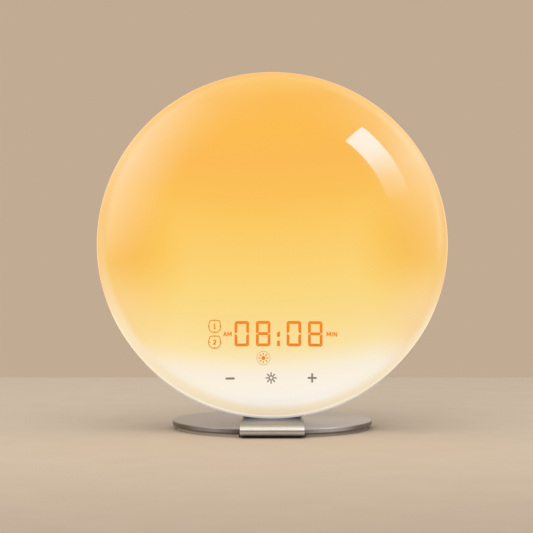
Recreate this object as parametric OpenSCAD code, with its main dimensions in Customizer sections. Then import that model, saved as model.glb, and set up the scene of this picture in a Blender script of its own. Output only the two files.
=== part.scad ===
// Sunrise alarm clock: a round, domed lamp head with a clock display and touch keys low on its
// face, leaning back on a round steel base. A folded steel strip hooks round the front of the
// base, runs under the head and rises behind it.
//
// Row frame: +Z up, the face looks along -Y, the origin lies under the centre of the base on the
// surface that the clock stands on. Lamp frame: X right, Y up the face, Z out of the face, with
// its origin at the centre of the seam between the domed front and the rear shell.

/* [Lamp head] */
// Diameter of the lamp head
lamp_d = 200; // [196:1:220]
// Backward lean of the lamp head, in degrees
lean = 12; // [9:0.5:15]
// Radius of the gently domed front
crown_r = 300; // [260:5:400]
// Radius of the shoulder that turns the dome into the rim
shoulder_r = 14; // [11:0.5:18]
// Wall of the domed front
dome_wall = 2; // [1.6:0.1:2.4]
// Straight part of the rear shell's side, behind the seam
rim_depth = 5.5; // [4:0.5:7]
// Depth of the rear shell, seam to back face
back_depth = 34; // [32:0.5:38]
// Diameter of the flat back face
back_flat_d = 124; // [120:1:130]
// Wall of the rear shell
shell_wall = 2.2; // [1.8:0.1:2.6]

/* [Stand] */
// Diameter of the round base plate
plate_d = 114; // [106:1:130]
// Thickness of the base plate
plate_t = 2.6; // [2:0.1:4]
// Thickness of the foam pad under the base plate
pad_t = 2; // [1.8:0.1:4]
// Width of the folded strip
strip_w = 35; // [26:1:40]
// Thickness of the folded strip
strip_t = 1.2; // [0.8:0.1:1.5]
// Thickness of the damping shim between strip and base plate
shim_t = 1; // [0.5:0.1:2]
// How far in front of the base centre the lamp head's lowest point is
contact_y = 15; // [10:0.5:18]
// Height up the face, below its centre, at which the strip ends
strip_end_v = 22; // [18:1:26]

/* [Display and touch keys] */
// Height of a clock digit
digit_h = 13.5; // [11:0.1:15]
// Width of a clock digit
digit_w = 7.9; // [6.5:0.1:8.5]
// Distance between the two digits of a pair
digit_pitch = 11.8; // [10.5:0.1:12.5]
// Distance between the inner digits of the two pairs
pair_pitch = 16.9; // [15:0.1:18]
// Distance of the row of digits from the lower edge of the face
digit_edge = 44; // [43:0.5:46]
// Distance of the row of touch keys from the lower edge of the face
touch_edge = 20; // [19:0.5:21]
// Distance between neighbouring touch keys
touch_pitch = 22.6; // [18:0.1:26]

/* [Keys at the back] */
// Number of keys in the row
key_count = 6; // [4:1:6]
// Distance between neighbouring keys
key_pitch = 18; // [16:0.5:18.5]
// Width of a key
key_w = 12; // [9:0.5:13]
// Height of a key
key_h = 7; // [5:0.5:8]
// How far a key stands out of the back face
key_proud = 1.2; // [0.8:0.1:2]
// Travel of a key
key_travel = 0.5; // [0.3:0.05:0.8]

/* [Speaker, battery and power] */
// Diameter of the loudspeaker
speaker_d = 40; // [36:0.5:40]
// Depth of the loudspeaker, flange to magnet
speaker_depth = 13; // [11:0.5:14]
// Diameter of a grille hole
grille_hole_d = 1.8; // [1.2:0.1:2.4]
// Diameter of the coin cell
cell_d = 20; // [16:0.5:20]
// Thickness of the coin cell
cell_t = 3.2; // [1.6:0.1:3.6]
// Diameter of the battery door
door_d = 26; // [25.5:0.5:27]
// Diameter of the power jack's bore
jack_bore_d = 5.7; // [5.5:0.1:6.5]
// Diameter of the power jack's centre pin
jack_pin_d = 2; // [1.3:0.1:2.5]

/* [Hidden] */
$fn = 64;
lathe_fn = 128;     // facets of the large turned shapes
eps = 0.01;         // overlap that joins two solids of one piece
cut = 1;            // how far a cut runs past the face that it opens
fit = 0.2;          // clearance between mouldings that slide together
run = 0.05;         // radial clearance of a plunger, pin or screw in its bore
rest_gap = 0.3;     // clearance under a part that only rests on its seat

// ---- Lamp head: dome and rear shell, radii and heights in the lamp frame
lamp_r = lamp_d / 2;
flat_r = back_flat_d / 2;
crown_z = -sqrt(pow(crown_r - shoulder_r, 2) - pow(lamp_r - shoulder_r, 2));
blend_a = asin((lamp_r - shoulder_r) / (crown_r - shoulder_r));
dome_h = crown_r + crown_z;
crown_steps = 24;
shoulder_steps = 12;
curve_steps = 20;
curve_r = lamp_r - flat_r;
curve_d = back_depth - rim_depth;
back_z = -back_depth;
back_in = back_z + shell_wall;
// Height of the dome's inner face at a distance from its axis
function dome_in(r) = crown_z + sqrt(pow(crown_r - dome_wall, 2) - r * r);

spigot_out = lamp_r - shell_wall - fit;
spigot_in = spigot_out - 1.4;
spigot_len = 5;
spigot_root = 1.5;
snap_bead = 0.5;    // how far the snap bead stands out of the spigot
snap_h = 1.2;
snap_z = -3;
tray_t = 2;
tray_r = spigot_out - 0.6;
ledge_t = 2;
ledge_in = tray_r - 2.5;
ledge_z = -spigot_len - tray_t;

// ---- Where the lamp head sits over the stand
plate_r = plate_d / 2;
plate_z = pad_t;
plate_top = plate_z + plate_t;
strip_z = plate_top + shim_t;
strip_top = strip_z + strip_t;
reach = sqrt(pow(curve_r * cos(lean), 2) + pow(curve_d * sin(lean), 2));
low_reach = flat_r * cos(lean) + rim_depth * sin(lean) + reach;
low_r = flat_r + curve_r * curve_r * cos(lean) / reach;
low_z = rim_depth + curve_d * curve_d * sin(lean) / reach;
lamp_y = -contact_y + low_r * sin(lean) - low_z * cos(lean);
lamp_z = strip_top + rest_gap + low_reach;

// ---- Strip, base plate, pad and their screws
edge_break = 0.4;
lip_z = plate_z - strip_t;
fold_r = (strip_top - lip_z) / 2;
fold_y = -plate_r - fit;
lip_len = 12;
bend_r = 4;
strip_corner_r = 4;
back_foot = lamp_z + back_z * sin(lean) - strip_top;   // back face's centre above the strip
upright_y = lamp_y - back_z * cos(lean) - back_foot * tan(lean);
bend_run = bend_r * tan((90 - lean) / 2);
upright_len = back_foot / cos(lean) - strip_end_v;
pad_inset = 2.5;
pad_gap = 0.6;                      // between the pad and the lip of the strip
shim_inset = 1;
shim_start = 6;
stand_screw_at = [[10, -1], [-10, -1]];
stand_screw_r = 1.5;
stand_head_r = 3;
stand_head_h = 1.7;
socket_r = 1.2;
socket_depth = 0.9;
collar_r = 2.6;
collar_h = 1.3;
lamp_screw_drop = 11;               // from the strip's end to its upper screw
lamp_screw_pitch = 18;
lamp_screw_v = [for (k = [0, 1]) strip_end_v + lamp_screw_drop + k * lamp_screw_pitch];
lamp_screw_r = 2;
lamp_screw_len = 10;
lamp_head_r = 3.8;
lamp_head_h = 2.4;
insert_r = 3;
insert_len = 6;
lamp_boss_r = 4.6;
lamp_boss_h = 8;

// ---- Screws that close the shell
shell_screw_r = 1.4;
shell_head_r = 2.8;
shell_head_h = 2.2;
recess_gap = 0.5;
recess_depth = 6;
seat_t = 2;
seat_r = shell_head_r + 2;
seat_z = back_z + recess_depth + seat_t;
shell_screw_len = 10;
boss_r = 3.5;
speaker_at = [0, 30];
shell_screw_at = [[0, speaker_at.y + speaker_d / 2 + seat_r + fit], [flat_r - 12, 12],
    [12 - flat_r, 12], [26, -50], [-26, -50]];

// ---- Keys and main board
board_t = 1.6;
board_gap = 10.5;
board_z = back_in + board_gap;      // face of the main board that looks to the back
board_front = board_z + board_t;
board_r = flat_r - 4.5;
board_top_v = 6;
board_low_v = -38;
key_v = -3;
key_flange = 1.2;
key_flange_t = 1;
key_gap = 0.1;
key_stem_r = 1.5;
tact_size = 6;
tact_h = 3.5;
plunger_r = 1.75;
plunger_proud = 1;
plunger_in = 1.4;
plunger_z = board_z - tact_h - plunger_proud;
board_post_at = [[51, -12.5], [-51, -12.5], [14, -22], [-14, -22]];
board_post_r = 3;
board_screw_r = 1.2;
board_screw_len = 7;
board_pilot_len = 8;
board_head_r = 2.4;
board_head_h = 1.6;
chip_t = 1.6;
chips = [[[0, -14], [12, 12]], [[30, -18], [10, 5]], [[-30, -18], [7, 7]], [[38, -4], [5, 5]]];
touch_chip_x = 11;
touch_chip = [6, 6, chip_t];
capacitor_at = [[14, -33], [23, -33]];
capacitor_r = 3.15;
capacitor_h = 8;
connector = [10, 5, 3];
connector_at = [[14, -4], [-14, -32], [-16, -4]];
led_connector_at = [20, 6];

// ---- Speaker
gasket_t = 1;
speaker_flange_t = 1.2;
speaker_flange_w = 3;
speaker_z = back_in + gasket_t;
speaker_screw_r = speaker_d / 2 + 2.5;
speaker_post_r = 2.2;
speaker_pilot_r = 1;
speaker_pilot_floor = 0.9;          // how far the pilot holes reach into the shell wall
speaker_head_r = 3;
speaker_head_h = 1.2;
basket_wall = 1;
basket_inset = 7.6;
basket_r = speaker_d / 2 - basket_inset;
basket_hole_r = 5;
magnet_inset = 8.4;
magnet_r = speaker_d / 2 - magnet_inset;
magnet_h = 4.5;
magnet_z = speaker_z + speaker_depth - magnet_h;
pole_r = 4;
cone_t = 0.5;
cone_back = 3.6;                    // from the foot of the cone to the magnet
surround_w = 2;
cap_r = 6;
cap_bulge = 2;
pole_gap = 0.8;
grille_rings = 4;
grille_pitch = 3.5;
vent_x = 28;
vent_w = 2;
vent_h = 16;
vent_pitch = 4;
vent_count = 4;

// ---- Battery
door_at = [-36, -29];
door_r = door_d / 2;
door_t = 1.6;
door_wall = 3;
door_pad_r = 5;
coin_slot = [15, 1.8, 1.8];
coin_slot_a = 20;
lug_count = 3;
lug_len = 1.8;
lug_t = 1.2;
lug_a = 24;
lug_root = 2;
notch_play_a = 3;
door_turn = 45;
well_wall = 1.6;
well_r = door_r + lug_len + 2 * fit;
well_h = lug_t + 3 * fit;
cell_z = back_z + door_t + 3;
cell_rim = 1.4;
cell_step = 0.6;
cup_r = cell_d / 2 + 0.6;
contact_t = 0.3;
contact_air = 0.12;
contact_proud = 0.8;
spring_pad_r = 6;
spring_foot_r = 2;
spring_stem_r = 0.8;
cup_floor_z = cell_z + cell_t + 4 * contact_t;

// ---- Power jack
jack_at = [37, -30];
jack_body = 9.5;
jack_window_r = 5.5;
jack_depth = 9;
jack_pin_start = 1.2;

// ---- Display and touch keys, in a frame tilted to the dome under the display
digit_v = lamp_r - digit_edge;      // the rows' distances below the centre of the face
touch_v = lamp_r - touch_edge;
display_drop = 6;                    // from the middle of digits and touch keys up to the frame
display_v = (digit_v + touch_v) / 2 - display_drop;
display_a = asin(display_v / (crown_r - dome_wall));
display_x = 3.6;                     // the clock digits stand a little right of centre
display_q = (display_v - digit_v) / cos(display_a);
face_s = -2.6;
module_w = 2 * digit_pitch + pair_pitch + digit_w + 2;
module_h = digit_h + 5;
module_t = 7;
display_board_s = face_s - module_t - board_t;
display_board_top = 19;
display_post_at = [[39, 11], [-39, 11], [36, -9], [-36, -9]];
display_post_r = 2.8;
glow_t = 0.2;
stroke = 1.6;
bar_gap = 0.25;
colon_rise = digit_h / 5;
colon_h = 1.4 * stroke;
pin_r = 0.25;
pin_pitch = 5.08;
pin_inset = 1.6;
pin_tail = 0.8;
pins_a_side = 6;
pin_at = [for (s = [-1, 1]) for (i = [0:pins_a_side - 1])
    [display_x + (i - (pins_a_side - 1) / 2) * pin_pitch, display_q + s * (module_h / 2 - pin_inset)]];
spring_lift = 3;                     // the contact springs sit a little above the touch marks
touch_q = (display_v - touch_v + spring_lift) / cos(display_a);
spring_r = 3.5;
spring_wire = 0.6;
spring_turns = 4;
spring_steps = 12;                   // straight stretches in one turn
shield_half_w = 46;
shield_top_v = -digit_v + module_h / 2 + 3.75;
shield_r = lamp_r - 13;
shield_wall = 1.5;
shield_floor_t = 1.2;
shield_gap = 0.8;
shield_screw_at = [[18, shield_top_v - 9], [-18, shield_top_v - 9]];

// ---- LED board and tray
stack_gap = 1.7;                    // between the tray and the tallest part of the main board
tray_floor_z = board_front + connector.z + stack_gap + tray_t;
tray_floor_r = lamp_r - 12;
tray_slope_r = ledge_in - 3.5;
tray_slope_t = 1;
tray_boss_h = 3;
standoff_h = 2;
led_board_r = tray_floor_r - 4;
led_board_z = tray_floor_z + standoff_h;
led_board_front = led_board_z + board_t;
led_cut_gap = 1.5;                  // between the LED board and the light shield
led_edge = 8;                       // from the outer ring of LEDs to the board's edge
led_ring_gap = 16;                  // between the two outer rings
led_rings = [24, 42, led_board_r - led_edge - led_ring_gap, led_board_r - led_edge];
led_step = 17;
led_h = 0.8;
warm_led = [3.5, 2.8];
colour_led = [5, 5];
led_shield_gap = 5;
led_screw_gap = 9;
tray_screw_r = 1.4;
tray_head_r = 2.8;
tray_head_h = 2;
tray_screw_len = 7;
led_top_inset = 12;                 // from the LED board's edge to its screws, top and sides
led_side_inset = 18;
led_screw_at = [[0, 14], [0, led_board_r - led_top_inset], [led_board_r - led_side_inset, 0],
    [led_side_inset - led_board_r, 0]];
wire_hole_at = [20, -8];
display_hole_at = [0, shield_top_v - 9];
wire_hole_r = 6;

// ---- Routes of the leads
speaker_lead_r = 0.6;
speaker_lead_pitch = 3.2;
speaker_route = [
    [-16, connector_at[2].y + connector.y / 2 + fit, board_front + 1.5], [-15, 3, board_front + 2],
    [-13.5, 9, board_z + 1], [-13, 14.5, speaker_z + 9]];
led_lead_r = 1;
led_route = [
    [connector_at[0].x + connector.x / 2 + 3 * fit, connector_at[0].y, board_front + 1.6],
    [21, -5, board_front + 2.6], [21.5, -7, tray_floor_z - 2], [20.5, -5, led_board_z + 2],
    [20, 0, led_board_z + 3.6],
    [led_connector_at.x, led_connector_at.y - connector.y / 2 - 2 * fit, led_board_front + 1.6]];
display_lead_r = 1.2;
display_route = [
    [-11, connector_at[1].y - connector.y / 2 - 3 * fit, board_front + 1.6], [-9, -39, board_front + 1.8],
    [-3, display_hole_at.y + 4, tray_floor_z - 3], [-1, display_hole_at.y, tray_floor_z + 2],
    [-1, display_hole_at.y - 2, -6], [-2, display_hole_at.y - 5, 1]];

// ---------------------------------------------------------------- helpers
module in_lamp() translate([0, lamp_y, lamp_z]) rotate([90 - lean, 0, 0]) children();

module in_display() translate([0, -display_v, dome_in(display_v)]) rotate([display_a, 0, 0]) children();

// A rod or bore from one height to another
module rod(r, z0, z1, at = [0, 0]) translate([at.x, at.y, min(z0, z1)]) cylinder(r = r, h = abs(z1 - z0));

// A plate of an outline from one height to another
module plate(z0, z1) translate([0, 0, min(z0, z1)]) linear_extrude(abs(z1 - z0)) children();

// A ring from one height to another
module ring(r0, r1, z0, z1, at = [0, 0]) difference() {
    rod(r1, z0, z1, at);
    rod(r0, z0 - cut, z1 + cut, at);
}

// A block on a face, of a size and at a place on it
module block(size, at, z) translate([at.x, at.y, z + size.z / 2]) cube(size, center = true);

// A pill-shaped outline
module pill(w, h) {
    square([w - h, h], center = true);
    for (s = [-1, 1]) translate([s * (w - h) / 2, 0]) circle(d = h);
}

// A pan-head screw: its head's seat lies at z and the shank points along +Z. The cross recess is
// a little longer than the head's radius, a quarter as wide and 0.6 of the head's height deep.
module pan_screw(shank_r, len, head_r, head_h, at, z) difference() {
    union() {
        rod(head_r, z - head_h, z, at);
        rod(shank_r, z - eps, z + len, at);
    }
    translate([at.x, at.y, z - head_h]) for (a = [45, 135]) rotate(a)
        cube([1.2 * head_r, head_r / 4, 2 * 0.6 * head_h], center = true);
}

// The same screw the other way round, its shank along -Z
module pan_screw_down(shank_r, len, head_r, head_h, at, z) mirror([0, 0, 1])
    pan_screw(shank_r, len, head_r, head_h, at, -z);

// Points of an arc round a centre
function arc(c, r, a0, a1, n) = [for (i = [0:n]) let (a = a0 + (a1 - a0) * i / n) c + r * [cos(a), sin(a)]];

// A round tube along points, with flat ends
function unit(v) = v / norm(v);
function along(p, i) = unit(p[min(i + 1, len(p) - 1)] - p[max(i - 1, 0)]);
function across(d) = unit(cross(d, abs(d.z) > 0.9 ? [1, 0, 0] : [0, 0, 1]));
module tube(p, r, sides = 8) {
    n = len(p);
    points = [for (i = [0:n - 1]) let (d = along(p, i), a = across(d), b = cross(d, a))
        for (k = [0:sides - 1]) p[i] + r * (a * cos(k * 360 / sides) + b * sin(k * 360 / sides))];
    skin = [for (i = [0:n - 2]) for (k = [0:sides - 1])
        let (a = i * sides + k, b = i * sides + (k + 1) % sides)
        for (side = [[a, b, b + sides], [a, b + sides, a + sides]]) side];
    ends = [[for (k = [sides - 1:-1:0]) k], [for (k = [0:sides - 1]) (n - 1) * sides + k]];
    polyhedron(points, concat(skin, ends), convexity = 6);
}

// A point of the smooth curve through a route's points, t from 0 to 1
function spline(p, t) = let (
    n = len(p) - 1, i = min(floor(t * n), n - 1), u = t * n - i,
    a = p[max(i - 1, 0)], b = p[i], c = p[i + 1], d = p[min(i + 2, n)])
    (2 * b + (c - a) * u + (2 * a - 5 * b + 4 * c - d) * u * u + (3 * b - a - 3 * c + d) * u * u * u) / 2;
module lead(route, r, rings = 24) tube([for (i = [0:rings]) spline(route, i / rings)], r);

// ---------------------------------------------------------------- lamp head
function dome_profile(inset) = concat(
    arc([0, crown_z], crown_r - inset, 90, 90 - blend_a, crown_steps),
    [for (i = [1:shoulder_steps])
        arc([lamp_r - shoulder_r, 0], shoulder_r - inset, 90 - blend_a, 0, shoulder_steps)[i]]);

// The bead that snaps the diffuser into the groove of the rear shell
function snap_outline(grow) = [
    [spigot_out, snap_z - snap_h / 2 - grow], [spigot_out + snap_bead + grow, snap_z - grow / 2],
    [spigot_out + snap_bead + grow, snap_z + grow / 2], [spigot_out, snap_z + snap_h / 2 + grow]];

module front_diffuser() color("moccasin") in_lamp() {
    rotate_extrude($fn = lathe_fn) polygon(concat(
        dome_profile(0),
        [for (i = [crown_steps + shoulder_steps:-1:0]) dome_profile(dome_wall)[i]]));
    rotate_extrude($fn = lathe_fn) polygon(concat(
        [[spigot_in, -spigot_len], [spigot_out, -spigot_len]], snap_outline(0), [[spigot_out, 0],
        [lamp_r - dome_wall / 2, 0], [lamp_r - dome_wall / 2, dome_wall / 2], [spigot_in, spigot_root]]));
}

// Half outline of the rear shell: the rim, the curve down to the flat back and the axis
function shell_profile(inset) = concat(
    [[lamp_r - inset, 0]],
    [for (i = [0:curve_steps]) let (a = 90 * i / curve_steps)
        [flat_r + (curve_r - inset) * cos(a), -rim_depth - (curve_d - inset) * sin(a)]],
    [[0, back_z + inset]]);

// A hole of an outline through the back wall
module back_hole() plate(back_z - cut, back_in + cut) children();

module grille_holes() back_hole() translate(speaker_at) {
    circle(d = grille_hole_d);
    for (k = [1:grille_rings]) for (i = [0:6 * k - 1]) rotate(i * 60 / k)
        translate([k * grille_pitch, 0]) circle(d = grille_hole_d);
}

module shell_holes() {
    for (at = shell_screw_at) {
        rod(shell_head_r + recess_gap, back_z - cut, back_z + recess_depth, at);
        rod(shell_screw_r + fit, back_z, seat_z + cut, at);
    }
    for (i = [0:key_count - 1]) back_hole() translate([key_x(i), key_v]) pill(key_w, key_h);
    rod(door_r + fit, back_z - cut, back_in + cut, door_at);
    back_hole() translate(door_at) for (k = [1:lug_count]) rotate(k * 360 / lug_count + door_turn)
        bayonet_lug(fit, notch_play_a);
    rod(jack_window_r, back_z - cut, back_in + cut, jack_at);
    grille_holes();
    for (s = [-1, 1]) for (i = [0:vent_count - 1]) back_hole()
        translate([s * (vent_x + i * vent_pitch), speaker_at.y]) rotate(90) pill(vent_h, vent_w);
    for (v = lamp_screw_v) {
        rod(insert_r, back_in, back_in + lamp_boss_h + cut, [0, -v]);
        rod(lamp_screw_r + fit, back_z - cut, back_in + cut, [0, -v]);
    }
    for (at = board_post_at) rod(board_screw_r, board_z - board_pilot_len, board_z + cut, at);
    for (at = speaker_post_at)
        rod(speaker_pilot_r, back_in - speaker_pilot_floor, speaker_z + speaker_flange_t + cut, at);
}

// A wide ring for the lugs of the battery door, and the cup that holds the cell
module battery_well() difference() {
    union() {
        rod(well_r + well_wall, back_in - eps, back_in + well_h + well_wall, door_at);
        rod(cup_r + well_wall, back_in, cup_floor_z + well_wall, door_at);
    }
    rod(well_r, back_in - cut, back_in + well_h, door_at);
    rod(cup_r, back_in, cup_floor_z, door_at);
}

module rear_shell() color("gainsboro") in_lamp() difference() {
    union() {
        difference() {
            rotate_extrude($fn = lathe_fn) polygon(concat(shell_profile(0), [[0, 0]]));
            rotate_extrude($fn = lathe_fn) polygon(concat(
                [[lamp_r - shell_wall, cut]], shell_profile(shell_wall), [[0, cut]]));
            rotate_extrude($fn = lathe_fn) polygon(snap_outline(fit));
        }
        ring(ledge_in, lamp_r - shell_wall / 2, ledge_z - ledge_t, ledge_z);
        for (at = shell_screw_at) rod(seat_r, back_in - eps, seat_z, at);
        for (v = lamp_screw_v) rod(lamp_boss_r, back_in - eps, back_in + lamp_boss_h, [0, -v]);
        for (at = board_post_at) rod(board_post_r, back_in - eps, board_z, at);
        for (at = speaker_post_at) rod(speaker_post_r, back_in - eps, speaker_z + speaker_flange_t, at);
        battery_well();
    }
    shell_holes();
}

// The tray's flange lies on the shell's ledge, and the diffuser's spigot holds it down
module tray_outline() polygon([
    [0, tray_floor_z], [tray_floor_r, tray_floor_z], [tray_slope_r, -spigot_len],
    [tray_r, -spigot_len], [tray_r, ledge_z], [tray_slope_r + tray_slope_t, ledge_z],
    [tray_floor_r + tray_slope_t, tray_floor_z - tray_t], [0, tray_floor_z - tray_t]]);

module reflector_tray() color("white") in_lamp() {
    under = tray_floor_z - tray_t;
    difference() {
        union() {
            rotate_extrude($fn = lathe_fn) tray_outline();
            for (at = shell_screw_at) rod(boss_r, seat_z, under + eps, at);
            for (at = led_screw_at) rod(boss_r, under - tray_boss_h, led_board_z, at);
            for (at = shield_screw_at) rod(boss_r, under - tray_boss_h, under + eps, at);
        }
        for (at = shell_screw_at) rod(shell_screw_r + run, seat_z - cut, under - cut, at);
        for (at = led_screw_at) rod(tray_screw_r + run, under - tray_boss_h - cut, led_board_z + cut, at);
        for (at = shield_screw_at) rod(tray_screw_r + run, under - tray_boss_h - cut, tray_floor_z + cut, at);
        for (at = [wire_hole_at, display_hole_at]) rod(wire_hole_r, under - cut, tray_floor_z + cut, at);
    }
}

module shell_screws() color("silver") in_lamp() for (at = shell_screw_at)
    pan_screw(shell_screw_r, shell_screw_len, shell_head_r, shell_head_h, at, back_z + recess_depth);

// ---------------------------------------------------------------- light
// Outline of the light shield, drawn in from all sides
module shield_outline(inset) intersection() {
    translate([-shield_half_w + inset, -lamp_r])
        square([2 * (shield_half_w - inset), lamp_r + shield_top_v - inset]);
    circle(r = shield_r - inset, $fn = lathe_fn);
}

function in_shield(p) = p.y < shield_top_v + led_shield_gap && abs(p.x) < shield_half_w + led_shield_gap;
function near_screw(p) =
    min([for (at = concat(led_screw_at, [wire_hole_at])) norm(p - at)]) < led_screw_gap;
// Places of the LEDs in rings, each with its number in the ring
led_at = [for (r = led_rings) let (n = round(2 * PI * r / led_step)) for (i = [0:n - 1])
    let (a = (i + 1 / 2) * 360 / n, p = r * [sin(a), cos(a)])
    if (!in_shield(p) && !near_screw(p)) [p.x, p.y, i]];

module led_board() color("whitesmoke") in_lamp() difference() {
    rod(led_board_r, led_board_z, led_board_front);
    plate(led_board_z - cut, led_board_front + cut) translate([-shield_half_w - led_cut_gap, -lamp_r])
        square([2 * (shield_half_w + led_cut_gap), lamp_r + shield_top_v + led_cut_gap]);
    for (at = led_screw_at) rod(tray_screw_r + fit, led_board_z - cut, led_board_front + cut, at);
    rod(wire_hole_r, led_board_z - cut, led_board_front + cut, wire_hole_at);
}

module led_package(p, size) translate([p.x, p.y, led_board_front + led_h / 2])
    rotate(-atan2(p.x, p.y)) cube([size.x, size.y, led_h], center = true);

module warm_leds() color("khaki") in_lamp() for (p = led_at) if (p[2] % 3 != 0) led_package(p, warm_led);

module colour_leds() color("white") in_lamp() for (p = led_at) if (p[2] % 3 == 0) led_package(p, colour_led);

module tray_screws() color("silver") in_lamp() {
    for (at = led_screw_at)
        pan_screw_down(tray_screw_r, tray_screw_len, tray_head_r, tray_head_h, at, led_board_front);
    for (at = shield_screw_at) pan_screw_down(tray_screw_r, tray_screw_len, tray_head_r, tray_head_h, at,
        tray_floor_z + shield_floor_t);
}

// ---------------------------------------------------------------- display and touch keys
// A box round the display that keeps the lamp's light out of it, with the display board's posts
module light_shield() color("white") in_lamp() difference() {
    intersection() {
        union() {
            difference() {
                plate(tray_floor_z, dome_h) shield_outline(0);
                plate(tray_floor_z + shield_floor_t, dome_h + cut) shield_outline(shield_wall);
            }
            intersection() {
                in_display() for (at = display_post_at) rod(display_post_r, display_board_s, -lamp_r, at);
                plate(tray_floor_z, dome_h) shield_outline(0);
            }
        }
        translate([0, 0, crown_z]) sphere(r = crown_r - dome_wall - shield_gap, $fn = lathe_fn);
    }
    in_display() for (at = display_post_at)
        rod(board_screw_r, display_board_s + cut, display_board_s - board_pilot_len, at);
    for (at = shield_screw_at)
        rod(tray_screw_r + fit, tray_floor_z - cut, tray_floor_z + shield_floor_t + cut, at);
    rod(wire_hole_r, tray_floor_z - cut, tray_floor_z + shield_floor_t + cut, display_hole_at);
}

module display_board() color("seagreen") in_lamp() difference() {
    intersection() {
        in_display() translate([-shield_half_w, display_board_top - lamp_r, display_board_s])
            cube([2 * shield_half_w, lamp_r, board_t]);
        plate(tray_floor_z, dome_h) shield_outline(shield_wall + 2 * fit);
    }
    in_display() {
        for (at = display_post_at)
            rod(board_screw_r + fit, display_board_s - cut, display_board_s + board_t + cut, at);
        for (at = pin_at) rod(pin_r + run, display_board_s - cut, display_board_s + board_t + cut, at);
    }
}

module display_screws() color("silver") in_lamp() in_display() for (at = display_post_at)
    pan_screw_down(board_screw_r - run, board_screw_len, board_head_r, board_head_h, at,
        display_board_s + board_t);

module display_module() color("dimgray") in_lamp() in_display()
    block([module_w, module_h, module_t], [display_x, display_q], face_s - module_t);

module display_pins() color("silver") in_lamp() in_display() for (at = pin_at)
    rod(pin_r, display_board_s - pin_tail, face_s - module_t, at);

// One lit bar of a digit, of a length between its pointed ends
module bar(len) polygon([[-len / 2, 0], [-len / 2 + stroke / 2, stroke / 2],
    [len / 2 - stroke / 2, stroke / 2], [len / 2, 0], [len / 2 - stroke / 2, -stroke / 2],
    [-len / 2 + stroke / 2, -stroke / 2]]);

// Bars of a digit: top, upper right, lower right, foot, lower left, upper left, middle
module digit(bars) {
    half = (digit_h - stroke) / 2;
    side = (digit_w - stroke) / 2;
    places = [[0, half, 0], [side, half / 2, 90], [side, -half / 2, 90], [0, -half, 0],
        [-side, -half / 2, 90], [-side, half / 2, 90], [0, 0, 0]];
    for (b = bars) translate([places[b].x, places[b].y]) rotate(places[b].z)
        bar((places[b].z == 0 ? 2 * side : half) - bar_gap);
}

zero = [0, 1, 2, 3, 4, 5];
eight = [0, 1, 2, 3, 4, 5, 6];

module display_segments() color("darkorange") in_lamp() in_display()
    translate([display_x, display_q, face_s]) linear_extrude(glow_t) {
        for (s = [-1, 1]) {
            translate([s * (pair_pitch + digit_pitch) / 2 - digit_pitch / 2, 0]) digit(zero);
            translate([s * (pair_pitch + digit_pitch) / 2 + digit_pitch / 2, 0]) digit(eight);
            translate([0, s * colon_rise]) square([stroke, colon_h], center = true);
        }
    }

// Contact springs that carry the finger's touch from the dome to the board
module touch_spring(x) {
    top = -(x * x + touch_q * touch_q) / (2 * crown_r) - rest_gap - spring_wire;
    low = display_board_s + board_t + spring_wire / 2;
    n = spring_steps * spring_turns;
    translate([x, touch_q, 0]) tube([for (i = [0:n]) let (a = i * 360 / spring_steps)
        [spring_r * cos(a), spring_r * sin(a), low + (top - low) * i / n]], spring_wire / 2, 6);
}
module touch_springs() color("gold") in_lamp() in_display() for (k = [-1:1]) touch_spring(k * touch_pitch);

// ---------------------------------------------------------------- main board
module main_board() color("seagreen") in_lamp() difference() {
    plate(board_z, board_front) intersection() {
        circle(r = board_r, $fn = lathe_fn);
        translate([-board_r, board_low_v]) square([2 * board_r, board_top_v - board_low_v]);
    }
    for (at = board_post_at) rod(board_screw_r + fit, board_z - cut, board_front + cut, at);
}

module main_board_screws() color("silver") in_lamp() for (at = board_post_at)
    pan_screw_down(board_screw_r - run, board_screw_len, board_head_r, board_head_h, at, board_front);

module board_chips() color("#202224") in_lamp() {
    for (c = chips) block([c[1].x, c[1].y, chip_t], c[0], board_front);
    in_display() block(touch_chip, [touch_chip_x, touch_q], display_board_s - chip_t);
}

module board_capacitors() color("slategray") in_lamp() for (at = capacitor_at)
    rod(capacitor_r, board_z - capacitor_h, board_z, at);

module board_connectors() color("ivory") in_lamp() {
    for (at = connector_at) block(connector, at, board_front);
    block(connector, led_connector_at, led_board_front);
}

// ---------------------------------------------------------------- keys
function key_x(i) = (i - (key_count - 1) / 2) * key_pitch;

module tact_switches() color("#303234") in_lamp() for (i = [0:key_count - 1]) difference() {
    block([tact_size, tact_size, tact_h], [key_x(i), key_v], board_z - tact_h);
    rod(plunger_r + run, board_z - tact_h - cut, board_z - tact_h + plunger_in + key_travel + fit,
        [key_x(i), key_v]);
}

module plunger(i) color("#1c1c1e") in_lamp()
    rod(plunger_r, plunger_z, plunger_z + plunger_proud + plunger_in, [key_x(i), key_v]);

module key(i) color("#f2f0ec") in_lamp() translate([key_x(i), key_v]) {
    flange_z = back_in + key_gap;
    plate(back_z - key_proud, flange_z + eps) pill(key_w - 2 * fit, key_h - 2 * fit);
    plate(flange_z, flange_z + key_flange_t) pill(key_w + 2 * key_flange, key_h + 2 * key_flange);
    rod(key_stem_r, flange_z + key_flange_t - eps, plunger_z);
}

// ---------------------------------------------------------------- speaker
speaker_post_at = [for (a = [45:90:315]) speaker_at + speaker_screw_r * [cos(a), sin(a)]];
cone_r = speaker_d / 2 - speaker_flange_w;

module speaker_gasket() color("#2a2a2a") in_lamp()
    ring(cone_r, speaker_d / 2, back_in, speaker_z, speaker_at);

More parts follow.
